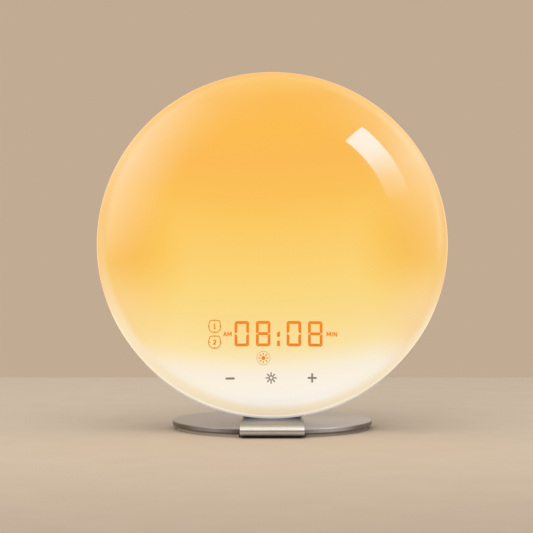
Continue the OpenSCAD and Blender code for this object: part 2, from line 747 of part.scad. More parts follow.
module speaker_frame() color("#44474b") in_lamp() translate(speaker_at) rotate_extrude($fn = lathe_fn)
    polygon([[cone_r, speaker_z], [speaker_d / 2, speaker_z], [speaker_d / 2, speaker_z + speaker_flange_t],
        [cone_r + basket_wall, speaker_z + speaker_flange_t], [basket_r + basket_wall, magnet_z],
        [basket_hole_r, magnet_z], [basket_hole_r, magnet_z - basket_wall],
        [basket_r, magnet_z - basket_wall], [cone_r, speaker_z + speaker_flange_t]]);

// The cone in half section: the rolled edge, the slope and the domed dust cap
module cone_outline() {
    cone_low = magnet_z - cone_back;
    polygon([[cone_r, speaker_z + fit], [cone_r, speaker_z + fit + cone_t],
        [cone_r - surround_w, speaker_z + fit + cone_t], [cap_r, cone_low + cone_t],
        [cap_r - cap_bulge, cone_low + cone_t], [0, cone_low - cap_bulge + cone_t],
        [0, cone_low - cap_bulge], [cap_r - cap_bulge, cone_low], [cap_r, cone_low],
        [cone_r - surround_w, speaker_z + fit]]);
}
module speaker_cone() color("#1e1e20") in_lamp() translate(speaker_at)
    rotate_extrude($fn = lathe_fn) cone_outline();

module speaker_magnet() color("#6b6e73") in_lamp() {
    rod(magnet_r, magnet_z, magnet_z + magnet_h, speaker_at);
    rod(pole_r, magnet_z - cone_back + cone_t + pole_gap, magnet_z + eps, speaker_at);
}

module speaker_screws() color("silver") in_lamp() for (at = speaker_post_at)
    pan_screw_down(speaker_pilot_r - run, gasket_t + speaker_flange_t + speaker_pilot_floor - fit,
        speaker_head_r, speaker_head_h, at, speaker_z + speaker_flange_t);

// ---------------------------------------------------------------- leads
module speaker_leads() color("firebrick") in_lamp() for (s = [-1, 1])
    translate([s * speaker_lead_pitch / 2, 0, 0]) lead(speaker_route, speaker_lead_r, 14);

module led_lead() color("ivory") in_lamp() lead(led_route, led_lead_r, 20);

module display_lead() color("ivory") in_lamp() lead(display_route, display_lead_r);

// ---------------------------------------------------------------- battery
// Outline of one lug of the battery door, grown by a clearance all round and to both sides
module bayonet_lug(grow, play_a) difference() {
    half_a = lug_a / 2 + play_a;
    tip = 2 * (door_r + lug_len);
    intersection() {
        circle(r = door_r + lug_len + grow);
        polygon([[0, 0], tip * [cos(half_a), -sin(half_a)], tip * [cos(half_a), sin(half_a)]]);
    }
    circle(r = door_r - lug_root);
}

module battery_door() color("#e9e7e3") in_lamp() difference() {
    lug_z = back_in + fit;
    union() {
        rod(door_r, back_z, back_z + door_t, door_at);
        ring(door_r - door_wall, door_r - fit, back_z + door_t - eps, lug_z + lug_t, door_at);
        plate(lug_z, lug_z + lug_t) translate(door_at) for (k = [1:lug_count])
            rotate(k * 360 / lug_count) bayonet_lug(0, 0);
        rod(door_pad_r, back_z + door_t - eps, cell_z - rest_gap, door_at);
    }
    translate([door_at.x, door_at.y, back_z]) rotate(coin_slot_a) cube(coin_slot, center = true);
}

module coin_cell() color("silver") in_lamp() {
    rod(cell_d / 2, cell_z + cell_step, cell_z + cell_t, door_at);
    rod(cell_d / 2 - cell_rim, cell_z, cell_z + cell_step + eps, door_at);
}

// A quarter of a band that presses on the side of the cell
module battery_contact_plus() color("gold") in_lamp() intersection() {
    ring(cell_d / 2 + contact_air, cell_d / 2 + contact_air + contact_t,
        cell_z + contact_proud, cell_z + cell_t + contact_proud, door_at);
    translate([door_at.x, door_at.y, cell_z]) rotate(200) cube([cell_d, cell_d, 2 * cell_t]);
}

module battery_contact_minus() color("gold") in_lamp() {
    rod(spring_pad_r, cup_floor_z - contact_t, cup_floor_z, door_at);
    rod(spring_foot_r, cell_z + cell_t, cell_z + cell_t + contact_t, door_at);
    rod(spring_stem_r, cell_z + cell_t, cup_floor_z, door_at);
}

// ---------------------------------------------------------------- power jack
module dc_jack() color("#18181a") in_lamp() difference() {
    block([jack_body, jack_body, board_gap - fit], jack_at, back_in + fit);
    rod(jack_bore_d / 2, back_in - cut, back_in + jack_depth, jack_at);
}

module dc_jack_pin() color("silver") in_lamp()
    rod(jack_pin_d / 2, back_in + jack_pin_start, back_in + jack_depth, jack_at);

// ---------------------------------------------------------------- stand
module threaded_inserts() color("goldenrod") in_lamp() for (v = lamp_screw_v)
    ring(lamp_screw_r, insert_r, back_in, back_in + insert_len, [0, -v]);

module lamp_screws() color("silver") in_lamp() for (v = lamp_screw_v)
    pan_screw(lamp_screw_r - run, lamp_screw_len, lamp_head_r, lamp_head_h, [0, -v], back_z - strip_t);

module stand_base_plate() color("#b9b4ad") difference() {
    rotate_extrude($fn = lathe_fn) polygon([[0, plate_z], [plate_r - edge_break, plate_z],
        [plate_r, plate_z + edge_break], [plate_r, plate_top - edge_break],
        [plate_r - edge_break, plate_top], [0, plate_top]]);
    for (at = stand_screw_at) {
        rod(stand_screw_r + fit, plate_z - cut, plate_top + cut, at);
        rod(stand_head_r + fit, plate_z - cut, plate_z + eps, at);
        translate([at.x, at.y, plate_z])
            cylinder(r1 = stand_head_r + fit, r2 = stand_screw_r + fit, h = stand_head_h);
    }
}

module stand_foot_pad() color("#2b2b2c") difference() {
    rod(plate_r - pad_inset, 0, pad_t);
    translate([-strip_w / 2 - pad_gap, -plate_d, -cut])
        cube([strip_w + 2 * pad_gap, plate_d + fold_y + lip_len + pad_gap, pad_t + 2 * cut]);
}

// Side view of the strip: the lip under the plate, the fold round its front edge, the run under
// the lamp head, the bend and the upright against the back of the head
module strip_section() {
    fold_c = [fold_y, lip_z + fold_r];
    bend_c = [upright_y - bend_run, strip_top + bend_r];
    top = [upright_y, strip_top] + upright_len * [sin(lean), cos(lean)];
    polygon(concat(
        [[fold_y + lip_len, lip_z]], arc(fold_c, fold_r, 270, 90, 20),
        arc(bend_c, bend_r, -90, -lean, 10), [top, top + strip_t * [cos(lean), -sin(lean)]],
        arc(bend_c, bend_r + strip_t, -lean, -90, 10), arc(fold_c, fold_r - strip_t, 90, 270, 20),
        [[fold_y + lip_len, lip_z + strip_t]]));
}

// What a rounded top corner of the strip leaves out, to the left or right
module strip_corner(side) translate([side * (strip_w / 2 - strip_corner_r), -strip_end_v - strip_corner_r])
    difference() {
        translate([side > 0 ? 0 : -strip_corner_r - cut, 0]) square(strip_corner_r + cut);
        circle(r = strip_corner_r);
    }

module stand_strip() color("#c9c5bf") difference() {
    union() {
        rotate([90, 0, 90]) translate([0, 0, -strip_w / 2]) linear_extrude(strip_w) strip_section();
        for (at = stand_screw_at) rod(collar_r, strip_z, strip_top + collar_h, at);
    }
    for (at = stand_screw_at) rod(stand_screw_r, strip_z - cut, strip_top + collar_h + cut, at);
    in_lamp() {
        for (v = lamp_screw_v) rod(lamp_screw_r + fit, back_z + cut, back_z - strip_t - cut, [0, -v]);
        for (s = [-1, 1]) plate(back_z - strip_t - cut, back_z + cut) strip_corner(s);
    }
}

module strip_shim() color("#3a3a3b") difference() {
    shim_y = shim_start - plate_r;
    translate([-strip_w / 2 + shim_inset, shim_y, plate_top])
        cube([strip_w - 2 * shim_inset, upright_y - bend_run - shim_y, shim_t]);
    for (at = stand_screw_at) rod(stand_screw_r + 3 * fit, plate_top - cut, strip_z + cut, at);
}

module stand_screws() color("silver") for (at = stand_screw_at) translate([at.x, at.y, plate_z])
    difference() {
        union() {
            cylinder(r1 = stand_head_r, r2 = stand_screw_r - run, h = stand_head_h);
            rod(stand_screw_r - run, cut, strip_top - plate_z + collar_h);
        }
        rod(socket_r, -cut, socket_depth);
    }

front_diffuser();
rear_shell();
reflector_tray();
led_board();
warm_leds();
colour_leds();
tray_screws();
light_shield();
display_board();
display_module();
display_segments();
display_pins();
touch_springs();
display_screws();
main_board();
main_board_screws();
board_chips();
board_capacitors();
board_connectors();
tact_switches();
for (i = [1:key_count]) {
    key(i - 1);
    plunger(i - 1);
}
speaker_gasket();
speaker_frame();
speaker_cone();
speaker_magnet();
speaker_screws();
speaker_leads();
led_lead();
display_lead();
battery_door();
coin_cell();
battery_contact_plus();
battery_contact_minus();
dc_jack();
dc_jack_pin();
shell_screws();
threaded_inserts();
lamp_screws();
stand_base_plate();
stand_foot_pad();
stand_strip();
strip_shim();
stand_screws();
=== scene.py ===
import math

import bpy
import numpy as np
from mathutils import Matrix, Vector


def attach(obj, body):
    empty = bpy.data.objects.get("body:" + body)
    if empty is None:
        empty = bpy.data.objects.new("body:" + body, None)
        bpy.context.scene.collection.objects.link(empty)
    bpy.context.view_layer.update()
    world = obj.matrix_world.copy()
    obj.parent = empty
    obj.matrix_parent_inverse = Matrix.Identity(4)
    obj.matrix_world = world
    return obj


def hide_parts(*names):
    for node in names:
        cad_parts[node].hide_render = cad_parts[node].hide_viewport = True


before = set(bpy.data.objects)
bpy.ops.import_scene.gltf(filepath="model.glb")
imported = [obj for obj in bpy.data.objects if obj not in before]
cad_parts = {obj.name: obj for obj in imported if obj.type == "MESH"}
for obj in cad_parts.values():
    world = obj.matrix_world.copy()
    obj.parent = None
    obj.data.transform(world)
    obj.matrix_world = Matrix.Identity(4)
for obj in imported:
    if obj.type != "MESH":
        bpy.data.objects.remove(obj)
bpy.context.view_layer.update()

mm = 0.001
scene = bpy.context.scene
scene.view_settings.view_transform = "Standard"


def linear(colour):
    # sRGB hex to linear RGBA; a plain number is a grey level that is linear already
    if not isinstance(colour, str):
        return (colour, colour, colour, 1.0)
    srgb = np.array([int(colour[i:i + 2], 16) for i in (1, 3, 5)]) / 255
    low, high = srgb / 12.92, ((srgb + 0.055) / 1.055) ** 2.4
    return (*np.where(srgb <= 0.04045, low, high).tolist(), 1.0)


def addNode(tree, kind, inputs=None, stops=None, over=(0, 1), **settings):
    # One node: its kind is Blender's name without ShaderNode in front, and settings go on the node.
    # inputs hold values, sockets, or nodes that feed it from their first output. A colour ramp's
    # stops are {value: colour}, and over is the range of values that its 0 to 1 stands for
    node = tree.nodes.new("ShaderNode" + kind)
    for name, value in settings.items():
        setattr(node, name, value)
    for name, value in (inputs or {}).items():
        if isinstance(value, bpy.types.Node):
            value = value.outputs[0]
        if isinstance(value, bpy.types.NodeSocket):
            tree.links.new(value, node.inputs[name])
        else:
            node.inputs[name].default_value = value
    if stops:
        elements, (low, high) = node.color_ramp.elements, over
        while len(elements) < len(stops):
            elements.new(0.5)
        for element, at in zip(elements, np.linspace(0, 1, len(stops))):
            element.position = at
        for element, (value, colour) in zip(elements, sorted(stops.items())):
            element.position, element.color = (value - low) / (high - low), linear(colour)
    return node


def newMaterial(name):
    # A material with one Principled shader; returns it with its tree, shader and Object coordinates
    material = bpy.data.materials.new(name)
    material.use_nodes = True
    tree = material.node_tree
    place = addNode(tree, "TexCoord").outputs["Object"]
    return material, tree, tree.nodes["Principled BSDF"], place


def volume(points, faces):
    # Signed volume of a closed shell: a sixth of a . (b x c) over the triangles of its faces
    fans = np.array([(face[0], face[i], face[i + 1]) for face in faces for i in range(1, len(face) - 1)])
    a, b, c = points[fans[:, 0]], points[fans[:, 1]], points[fans[:, 2]]
    return (a * np.cross(b, c)).sum() / 6


def addPiece(name, shells, material, body="clock", sharp=35):
    # One mesh from closed shells, each an array of points and index lists. A shell that is inside
    # out is turned round, and edges sharper than an angle stay crisp
    allPoints, allFaces, start = [], [], 0
    for points, faces in shells:
        points = np.asarray(points, float).reshape(-1, 3)
        faces = [list(face) for face in faces]
        if volume(points - points.mean(axis=0), faces) < 0:
            faces = [face[::-1] for face in faces]
        allFaces += [[start + int(k) for k in face] for face in faces]
        allPoints.append(points)
        start += len(points)
    mesh = bpy.data.meshes.new(name)
    mesh.from_pydata(np.concatenate(allPoints).tolist(), [], allFaces)
    mesh.validate()
    mesh.shade_smooth()
    mesh.set_sharp_from_angle(angle=math.radians(sharp))
    mesh.materials.append(material)
    piece = bpy.data.objects.new(name, mesh)
    scene.collection.objects.link(piece)
    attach(piece, body)
    return piece


def gridFaces(rows, columns, wrap=True, loop=False):
    # Quads between the points of a grid; wrap joins the last column to the first, loop the last row
    i, j = np.meshgrid(np.arange(rows if loop else rows - 1),
                       np.arange(columns if wrap else columns - 1), indexing="ij")
    below, right = (i + 1) % rows, (j + 1) % columns
    quads = [i * columns + j, i * columns + right, below * columns + right, below * columns + j]
    return np.stack(quads, axis=-1).reshape(-1, 4)


def capped(rows, columns):
    # Faces of a tube whose first and last rows are closed by one flat face each
    first = np.arange(columns)
    return gridFaces(rows, columns).tolist() + [first[::-1].tolist(), (first + (rows - 1) * columns).tolist()]


def arcPoints(centre, radius, start, end, count):
    # Points of an arc in a plane: centre + radius (cos a, sin a), angles in degrees
    a = np.radians(np.linspace(start, end, count))
    return np.stack([centre[0] + radius * np.cos(a), centre[1] + radius * np.sin(a)], axis=-1)


def ease(value, start, end):
    # Smooth step from 0 at start to 1 at end: 3 t^2 - 2 t^3
    t = np.clip((value - start) / (end - start), 0, 1)
    return t * t * (3 - 2 * t)


# The lamp's own frame: x right, v up the face, z out of it. The face leans back
lamp = dict(
    radius=100 * mm, lean=math.radians(12), origin=(0, -4.07586 * mm, 106.528 * mm),
    crownRadius=300 * mm, shoulderRadius=14 * mm, wall=2 * mm)
lamp["shoulderAt"] = lamp["radius"] - lamp["shoulderRadius"]
lamp["blend"] = math.asin(lamp["shoulderAt"] / (lamp["crownRadius"] - lamp["shoulderRadius"]))
lamp["crownZ"] = -(lamp["crownRadius"] - lamp["shoulderRadius"]) * math.cos(lamp["blend"])


def fromLamp(x, v, z):
    # Lamp frame to world: v climbs and runs back, z runs forward and up
    s, c = math.sin(lamp["lean"]), math.cos(lamp["lean"])
    _, y0, z0 = lamp["origin"]
    x, v, z = np.broadcast_arrays(x, v, z)
    return np.stack([x, y0 + s * v - c * z, z0 + c * v + s * z], axis=-1)


def domeHeight(x, v):
    # Height of the crown over the seam, on a sphere: its middle's height + sqrt(r^2 - x^2 - v^2)
    return lamp["crownZ"] + np.sqrt(lamp["crownRadius"] ** 2 - x ** 2 - v ** 2)


def lampSpace(tree, place):
    # Object coordinates turned into the lamp's frame, in units of its radius: as a vector, then split
    turned = addNode(tree, "Mapping", {
        "Vector": place, "Location": lamp["origin"], "Rotation": (math.pi / 2 - lamp["lean"], 0, 0),
        "Scale": (lamp["radius"],) * 3}, vector_type="TEXTURE")
    return turned.outputs[0], addNode(tree, "SeparateXYZ", {0: turned})


# Camera: it looks a little down and to the left, in degrees
view = dict(place=(0, -1.0, 0.104), lens=117.93, sensor=36, down=0.678, left=0.187)
cameraData = bpy.data.cameras.new("camera")
cameraData.lens, cameraData.sensor_width = view["lens"], view["sensor"]
camera = bpy.data.objects.new("camera", cameraData)
scene.collection.objects.link(camera)
camera.location = view["place"]
camera.rotation_euler = (math.radians(90 - view["down"]), 0, math.radians(view["left"]))
scene.camera = camera

# Backdrop: one colour for the wall, and a table with painted shade that darkens it towards the camera
studio = dict(
    wall="#c2ab93", ambient=0.62, wallLine=0.379, wallSoft=4 * mm, half=4.0, fadeFrom=0.75, fadeTo=1.25,
    floor=("#c7b49e", "#cab8a2"), near=("#b4a08b", "#b7a48f"), nearFrom=-0.12, nearTo=-0.45,
    grain=24 * mm, detail=5.0, mottle=(0.3, 0.7), rough=0.9, specular=0.1)

world = bpy.data.worlds.new("studio")
scene.world = world
world.use_nodes = True
tree = world.node_tree
tree.nodes.clear()
# The camera, mirrors and glass see the wall; the rest is lit by a plain white surround
lightPath = addNode(tree, "LightPath").outputs
seen = lightPath["Is Camera Ray"]
for kind in ("Is Glossy Ray", "Is Transmission Ray"):
    seen = addNode(tree, "Math", {0: seen, 1: lightPath[kind]}, operation="MAXIMUM").outputs[0]
ambient = addNode(tree, "Background", {"Color": linear("#ffffff"), "Strength": studio["ambient"]})
wall = addNode(tree, "Background", {"Color": linear(studio["wall"]), "Strength": 1.0})
mixed = addNode(tree, "MixShader", {0: seen, 1: ambient, 2: wall})
addNode(tree, "OutputWorld", {"Surface": mixed})

# Matt plaster table, faintly mottled. It turns to the wall's colour at the wall line and far out
material, tree, shader, place = newMaterial("matt_plaster")
spot = addNode(tree, "SeparateXYZ", {0: place})
grain = addNode(tree, "TexNoise", {"Vector": place, "Scale": 1 / studio["grain"], "Detail": studio["detail"]})
lit = addNode(tree, "ValToRGB", {0: grain}, dict(zip(studio["mottle"], studio["floor"])))
# Painted shade: a darker copy of the mottle takes over towards the camera, where the light falls off
paintedShadeFloor = addNode(tree, "ValToRGB", {0: grain}, dict(zip(studio["mottle"], studio["near"])))
close = addNode(tree, "MapRange", {
    0: spot.outputs["Y"], 1: studio["nearFrom"], 2: studio["nearTo"]}, interpolation_type="SMOOTHSTEP")
tint = addNode(tree, "Mix", {0: close, 6: lit, 7: paintedShadeFloor}, data_type="RGBA")
tree.links.new(tint.outputs[2], shader.inputs["Base Color"])
shader.inputs["Roughness"].default_value = studio["rough"]
shader.inputs["Specular IOR Level"].default_value = studio["specular"]
behind = addNode(tree, "MapRange", {
    0: spot.outputs["Y"], 1: studio["wallLine"] - studio["wallSoft"],
    2: studio["wallLine"] + studio["wallSoft"]}, interpolation_type="SMOOTHSTEP")
out = addNode(tree, "VectorMath", {0: place}, operation="LENGTH")
away = addNode(tree, "MapRange", {
    0: out.outputs["Value"], 1: studio["fadeFrom"], 2: studio["fadeTo"]}, interpolation_type="SMOOTHSTEP")
faded = addNode(tree, "Math", {0: behind, 1: away}, operation="MAXIMUM")
far = addNode(tree, "Emission", {"Color": linear(studio["wall"])})
both = addNode(tree, "MixShader", {0: faded, 1: shader, 2: far})
tree.links.new(both.outputs[0], tree.nodes["Material Output"].inputs["Surface"])
floorMesh = bpy.data.meshes.new("floor")
corners = np.array([(-1, -1, 0), (1, -1, 0), (1, 1, 0), (-1, 1, 0)]) * studio["half"]
floorMesh.from_pydata(corners.tolist(), [], [(0, 1, 2, 3)])
floorMesh.materials.append(material)
floor = bpy.data.objects.new("floor", floorMesh)
scene.collection.objects.link(floor)


def addLight(name, place, aim, size, radiance):
    # A square soft light; its power is the radiance that its face shows, times pi and its area
    data = bpy.data.lights.new(name, "AREA")
    data.size = size
    data.energy = radiance * math.pi * size ** 2
    light = bpy.data.objects.new(name, data)
    scene.collection.objects.link(light)
    light.location = place
    light.rotation_euler = (Vector(aim) - Vector(place)).to_track_quat("-Z", "Y").to_euler()
    light.visible_glossy = False


addLight("overhead_softbox", place=(0, -0.1, 1.1), aim=(0, 0, 0), size=1.3, radiance=1.15)
addLight("front_fill", place=(-0.5, -1.5, 0.5), aim=(0, 0, 0.1), size=0.8, radiance=3.6)


def addCard(name, grid, colour, strength, fade):
    # A reflector that only glossy surfaces see. It thins out to nothing where fade is 0
    material = bpy.data.materials.new(name)
    material.use_nodes = True
    tree = material.node_tree
    tree.nodes.clear()
    level = addNode(tree, "Attribute", attribute_name="fade")
    lit = addNode(tree, "Emission", {"Color": linear(colour), "Strength": strength})
    clear = addNode(tree, "BsdfTransparent")
    mixed = addNode(tree, "MixShader", {0: level.outputs["Fac"], 1: clear, 2: lit})
    addNode(tree, "OutputMaterial", {"Surface": mixed})
    mesh = bpy.data.meshes.new(name)
    mesh.from_pydata(grid.reshape(-1, 3).tolist(), [], gridFaces(*grid.shape[:2], wrap=False).tolist())
    level = mesh.attributes.new("fade", "FLOAT", "POINT")
    level.data.foreach_set("value", np.ravel(fade).astype(np.float32))
    mesh.materials.append(material)
    card = bpy.data.objects.new(name, mesh)
    scene.collection.objects.link(card)
    card.visible_camera = card.visible_diffuse = card.visible_shadow = card.visible_transmission = False


# A bright ceiling: a patch of a sphere that rises in front, passes overhead and ends behind.
# Its points lie at (sin s, -cos s cos e, cos s sin e), with e the height and s the swing aside
sky = dict(radius=1.4, middle=0.1, heights=(8, 170, 55), sides=(-80, 80, 33), rise=(12, 40), fall=(165, 120),
           swing=(78, 45), colour="#fffaf2", strength=1.15)
e, s = np.meshgrid(np.linspace(*sky["heights"]), np.linspace(*sky["sides"]), indexing="ij")
fade = ease(e, *sky["rise"]) * ease(e, *sky["fall"]) * ease(abs(s), *sky["swing"])
e, s = np.radians(e), np.radians(s)
grid = np.stack([np.sin(s), -np.cos(s) * np.cos(e), np.cos(s) * np.sin(e)], axis=-1) * sky["radius"]
grid[..., 2] += sky["middle"]
addCard("ceiling_card", grid, sky["colour"], sky["strength"], fade)

# A pale panel behind the lamp, which the flat steel picks up at a low angle. It thins out towards
# its edges and a little towards the left
panel = dict(y=0.62, across=(-0.8, 0.8, 25), up=(0.015, 0.75, 25), sides=(0.8, 0.45), rise=(0.02, 0.08),
             fall=(0.75, 0.35), leftToRight=(0.7, 1.0), colour="#f8e3ce", strength=0.97)
x, z = np.meshgrid(np.linspace(*panel["across"]), np.linspace(*panel["up"]), indexing="ij")
fade = ease(abs(x), *panel["sides"]) * ease(z, *panel["rise"]) * ease(z, *panel["fall"])
fade *= np.interp(x, panel["across"][:2], panel["leftToRight"])
grid = np.stack([x, np.full_like(x, panel["y"]), z], axis=-1)
addCard("rear_card", grid, panel["colour"], panel["strength"], fade)

# A narrow window that the dome mirrors high on its right side. Each of its points lies on the ray r
# from the camera to a spot of the dome, turned there by the surface: r - 2 (r . n) n. It is bright
# for a stretch and then dies away
window = dict(angles=(52.5, 15), inner=67.9 * mm, outer=81.3 * mm, rows=40, columns=9, skew=1.4, reach=0.9,
              strength=17, colour="#8ac8f6", bright=0.52, drop=4.2, endFrom=0.85)
along, over = np.meshgrid(
    np.linspace(0, 1, window["rows"]), np.linspace(0, 1, window["columns"]), indexing="ij")
start, end = window["angles"]
angle = np.radians(start + (end - start) * along - window["skew"] * (1 - along) * over)
radius = window["inner"] + (window["outer"] - window["inner"]) * over
x, v = radius * np.cos(angle), radius * np.sin(angle)
spot = fromLamp(x, v, domeHeight(x, v))
normal = spot - fromLamp(0, 0, lamp["crownZ"])
normal /= np.linalg.norm(normal, axis=-1, keepdims=True)
ray = spot - np.array(view["place"])
ray /= np.linalg.norm(ray, axis=-1, keepdims=True)
ray -= 2 * (ray * normal).sum(axis=-1, keepdims=True) * normal
fade = (1 - ease(along, window["endFrom"], 1)) / (1 + (along / window["bright"]) ** window["drop"])
addCard("window_card", spot + window["reach"] * ray, window["colour"], window["strength"], fade)
print("stage ready")

# Finishes of the parts carried over from the frame. Each row: common name, two close colours that
# drift into each other, grain in mm, roughness range, bump in mm, metallic
finishes = {
    "opal_diffuser": ("opal_acrylic_core", "#f2e6cf", "#f6ecd9", 3, 0.12, 0.2, 0.01, 0),  # milky, clear sheen
    "light_grey_abs": ("moulded_grey_abs", "#cfccc7", "#d8d5d0", 0.9, 0.42, 0.55, 0.03, 0),  # fine satin
    "key_white": ("moulded_white_abs", "#eceae6", "#f2f0ed", 0.8, 0.35, 0.48, 0.02, 0),  # whiter and smoother
    "white_reflector": ("white_polycarbonate", "#f1f0ec", "#f7f6f3", 2, 0.4, 0.55, 0.02, 0),  # even white
    "white_board": ("white_solder_mask", "#eeeeea", "#f5f5f2", 1.5, 0.3, 0.45, 0.01, 0),  # thin glossy coat
    "green_board": ("green_solder_mask", "#1d5a35", "#24683f", 1.5, 0.3, 0.45, 0.01, 0),  # deep green gloss
    "warm_led": ("warm_phosphor", "#f2d98a", "#f7e3a4", 0.4, 0.3, 0.45, 0.01, 0),  # yellow chips
    "colour_led": ("clear_epoxy", "#f0ede4", "#f6f4ee", 0.4, 0.15, 0.3, 0.01, 0),  # wet-looking drops
    "display_black": ("black_epoxy", "#141414", "#1b1b1b", 1, 0.3, 0.45, 0.01, 0),  # dark, faintly glossy
    "display_orange": ("orange_led_segment", "#f0821a", "#f59331", 1, 0.4, 0.5, 0.01, 0),  # saturated bars
    "chip_black": ("moulding_compound", "#17181a", "#202124", 0.5, 0.5, 0.65, 0.02, 0),  # stony matt black
    "black_plastic": ("black_nylon", "#141415", "#1d1d1f", 0.6, 0.4, 0.55, 0.02, 0),  # satin black
    "ivory_nylon": ("ivory_nylon", "#e9e2cf", "#f0ead9", 0.6, 0.4, 0.55, 0.02, 0),  # creamy satin
    "capacitor_can": ("shrink_sleeve", "#23262e", "#2d3039", 0.8, 0.3, 0.45, 0.02, 0),  # taut dark film
    "tinned_pin": ("tinned_brass", "#c9c8c4", "#d8d7d3", 0.4, 0.22, 0.35, 0.01, 1),  # soft silver
    "gold_contact": ("gold_flash", "#d8b46a", "#e3c27c", 0.4, 0.2, 0.32, 0.01, 1),  # pale gold
    "brass_insert": ("turned_brass", "#c9a558", "#d6b46a", 0.3, 0.25, 0.38, 0.02, 1),  # bright yellow metal
    "cell_steel": ("nickel_plated_steel", "#c4c3bf", "#d2d1cd", 0.5, 0.2, 0.32, 0.01, 1),  # smooth silver
    "zinc_screw": ("zinc_plated_steel", "#b9b8b4", "#cac9c6", 0.4, 0.28, 0.42, 0.02, 1),  # greyer silver
    "steel_screw": ("stainless_screw", "#bfbbb5", "#cfccc6", 0.4, 0.24, 0.38, 0.02, 1),  # warm silver
    "speaker_steel": ("pressed_steel", "#45484c", "#53565b", 1, 0.35, 0.5, 0.02, 1),  # dark plated steel
    "cone_paper": ("pulp_paper", "#1b1b1c", "#262627", 0.7, 0.8, 0.95, 0.08, 0),  # fibrous matt
    "ferrite": ("sintered_ferrite", "#46484b", "#54565a", 0.6, 0.6, 0.75, 0.05, 0),  # grainy grey
    "black_foam": ("eva_foam", "#1f1f20", "#2a2a2b", 0.6, 0.85, 0.97, 0.1, 0),  # open dull pores
    "red_lead": ("red_pvc", "#a81f1f", "#b92a28", 0.8, 0.4, 0.52, 0.01, 0),  # waxy red
    "ivory_lead": ("ivory_pvc", "#e6dfc8", "#eee8d6", 0.8, 0.4, 0.52, 0.01, 0),  # waxy cream
}

# The noise that gives a surface its grain, with the size of its drift in mm
speckle = dict(
    detail=3.0, rough=0.55, drift=25, driftDetail=2.0, tint=(0.12, 0.4), gloss=(0.3, 0.7), relief=0.5)


def grained(tree, place, shader, look):
    # Noise of the grain's size drives colour and roughness between their two ends, and a slight
    # bump; a slower noise drifts across it
    grains = addNode(tree, "TexNoise", {
        "Vector": place, "Scale": 1 / (look["grain"] * mm), "Detail": speckle["detail"],
        "Roughness": speckle["rough"]}).outputs["Fac"]
    drift = addNode(tree, "TexNoise", {
        "Vector": place, "Scale": 1 / (speckle["drift"] * mm), "Detail": speckle["driftDetail"]})
    blend = addNode(tree, "Math", {0: grains, 1: drift.outputs["Fac"]}, operation="MULTIPLY")
    tint = addNode(tree, "ValToRGB", {0: blend}, dict(zip(speckle["tint"], look["colours"])))
    low, high = speckle["gloss"]
    smooth, rough = look["rough"]
    gloss = addNode(tree, "MapRange", {0: grains, 1: low, 2: high, 3: smooth, 4: rough})
    relief = addNode(tree, "Bump", {
        "Height": grains, "Distance": look["bump"] * mm, "Strength": speckle["relief"]})
    tree.links.new(tint.outputs[0], shader.inputs["Base Color"])
    tree.links.new(gloss.outputs[0], shader.inputs["Roughness"])
    tree.links.new(relief.outputs[0], shader.inputs["Normal"])
    return tint.outputs[0]


made = {}
for slot, (named, first, second, grain, smooth, rough, bump, metallic) in finishes.items():
    made[slot], tree, shader, place = newMaterial(named)
    grained(tree, place, shader, dict(grain=grain, colours=(first, second), rough=(smooth, rough), bump=bump))
    shader.inputs["Metallic"].default_value = metallic

# Rear shell, moulded grey ABS: satin with a fine grain. Next to the diffuser and low down, where
# nothing else lights it, a painted glow in grey lightens it, standing in for the light that the
# floor throws up and the lamp spills on it
rearShell = dict(colours=("#cfccc7", "#d8d5d0"), grain=0.9, rough=(0.42, 0.55), bump=0.03,
                 glow="#e3dcda", strength=0.41, depth=(-0.25, -0.04), low=(-0.6, -0.98))
material, tree, shader, place = newMaterial("moulded_grey_abs_painted_glow")
grained(tree, place, shader, rearShell)
_, part = lampSpace(tree, place)
(deep, rim), (high, foot) = rearShell["depth"], rearShell["low"]
# Painted glow: grey light in the surface, strongest near the seam and low down
near = addNode(tree, "MapRange", {0: part.outputs["Z"], 1: deep, 2: rim}, interpolation_type="SMOOTHSTEP")
low = addNode(tree, "MapRange", {0: part.outputs["Y"], 1: high, 2: foot}, interpolation_type="SMOOTHSTEP")
both = addNode(tree, "Math", {0: near, 1: low}, operation="MULTIPLY")
glow = addNode(tree, "Mix", {0: both, 6: linear(0.0), 7: linear(rearShell["glow"])}, data_type="RGBA")
tree.links.new(glow.outputs[2], shader.inputs["Emission Color"])
shader.inputs["Emission Strength"].default_value = rearShell["strength"]
made["rear_shell"] = material

# Brushed stainless strip: fine lines run across it, along x. Painted shade darkens its flat run in
# front of the lamp, and the bend in front carries painted highlights, reflections and shade, in
# bands by height above the table in mm
brushed = dict(colours=("#a5a4a4", "#b3b2b1"), grain=0.3, rough=(0.2, 0.3), bump=0.008, drawn=(0.04, 1, 1),
               paintedShade=0.52, paintedShadeFrom=-28 * mm, paintedShadeTo=-8 * mm,
               bendFrom=-56.5 * mm, bendTo=-57.3 * mm, bandRange=(0.5, 6.8),
               paintedBands={0.5: "#2a2826", 1.1: "#3c3a38", 1.65: "#80858d", 2.2: "#bac0cc", 2.8: "#d0d6e4",
                      3.3: "#e2e7f2", 3.6: "#c4c8d2", 3.9: "#b0b3bb", 4.1: "#b4b4b8", 4.55: "#f0efee",
                      5.1: "#ecebe9", 5.6: "#dedcda", 6.2: "#cac9c8", 6.8: "#b4b3b3"})
material, tree, shader, place = newMaterial("brushed_stainless")
drawn = addNode(tree, "Mapping", {"Vector": place, "Scale": brushed["drawn"]}).outputs[0]
tint = grained(tree, drawn, shader, brushed)
part = addNode(tree, "SeparateXYZ", {0: place})
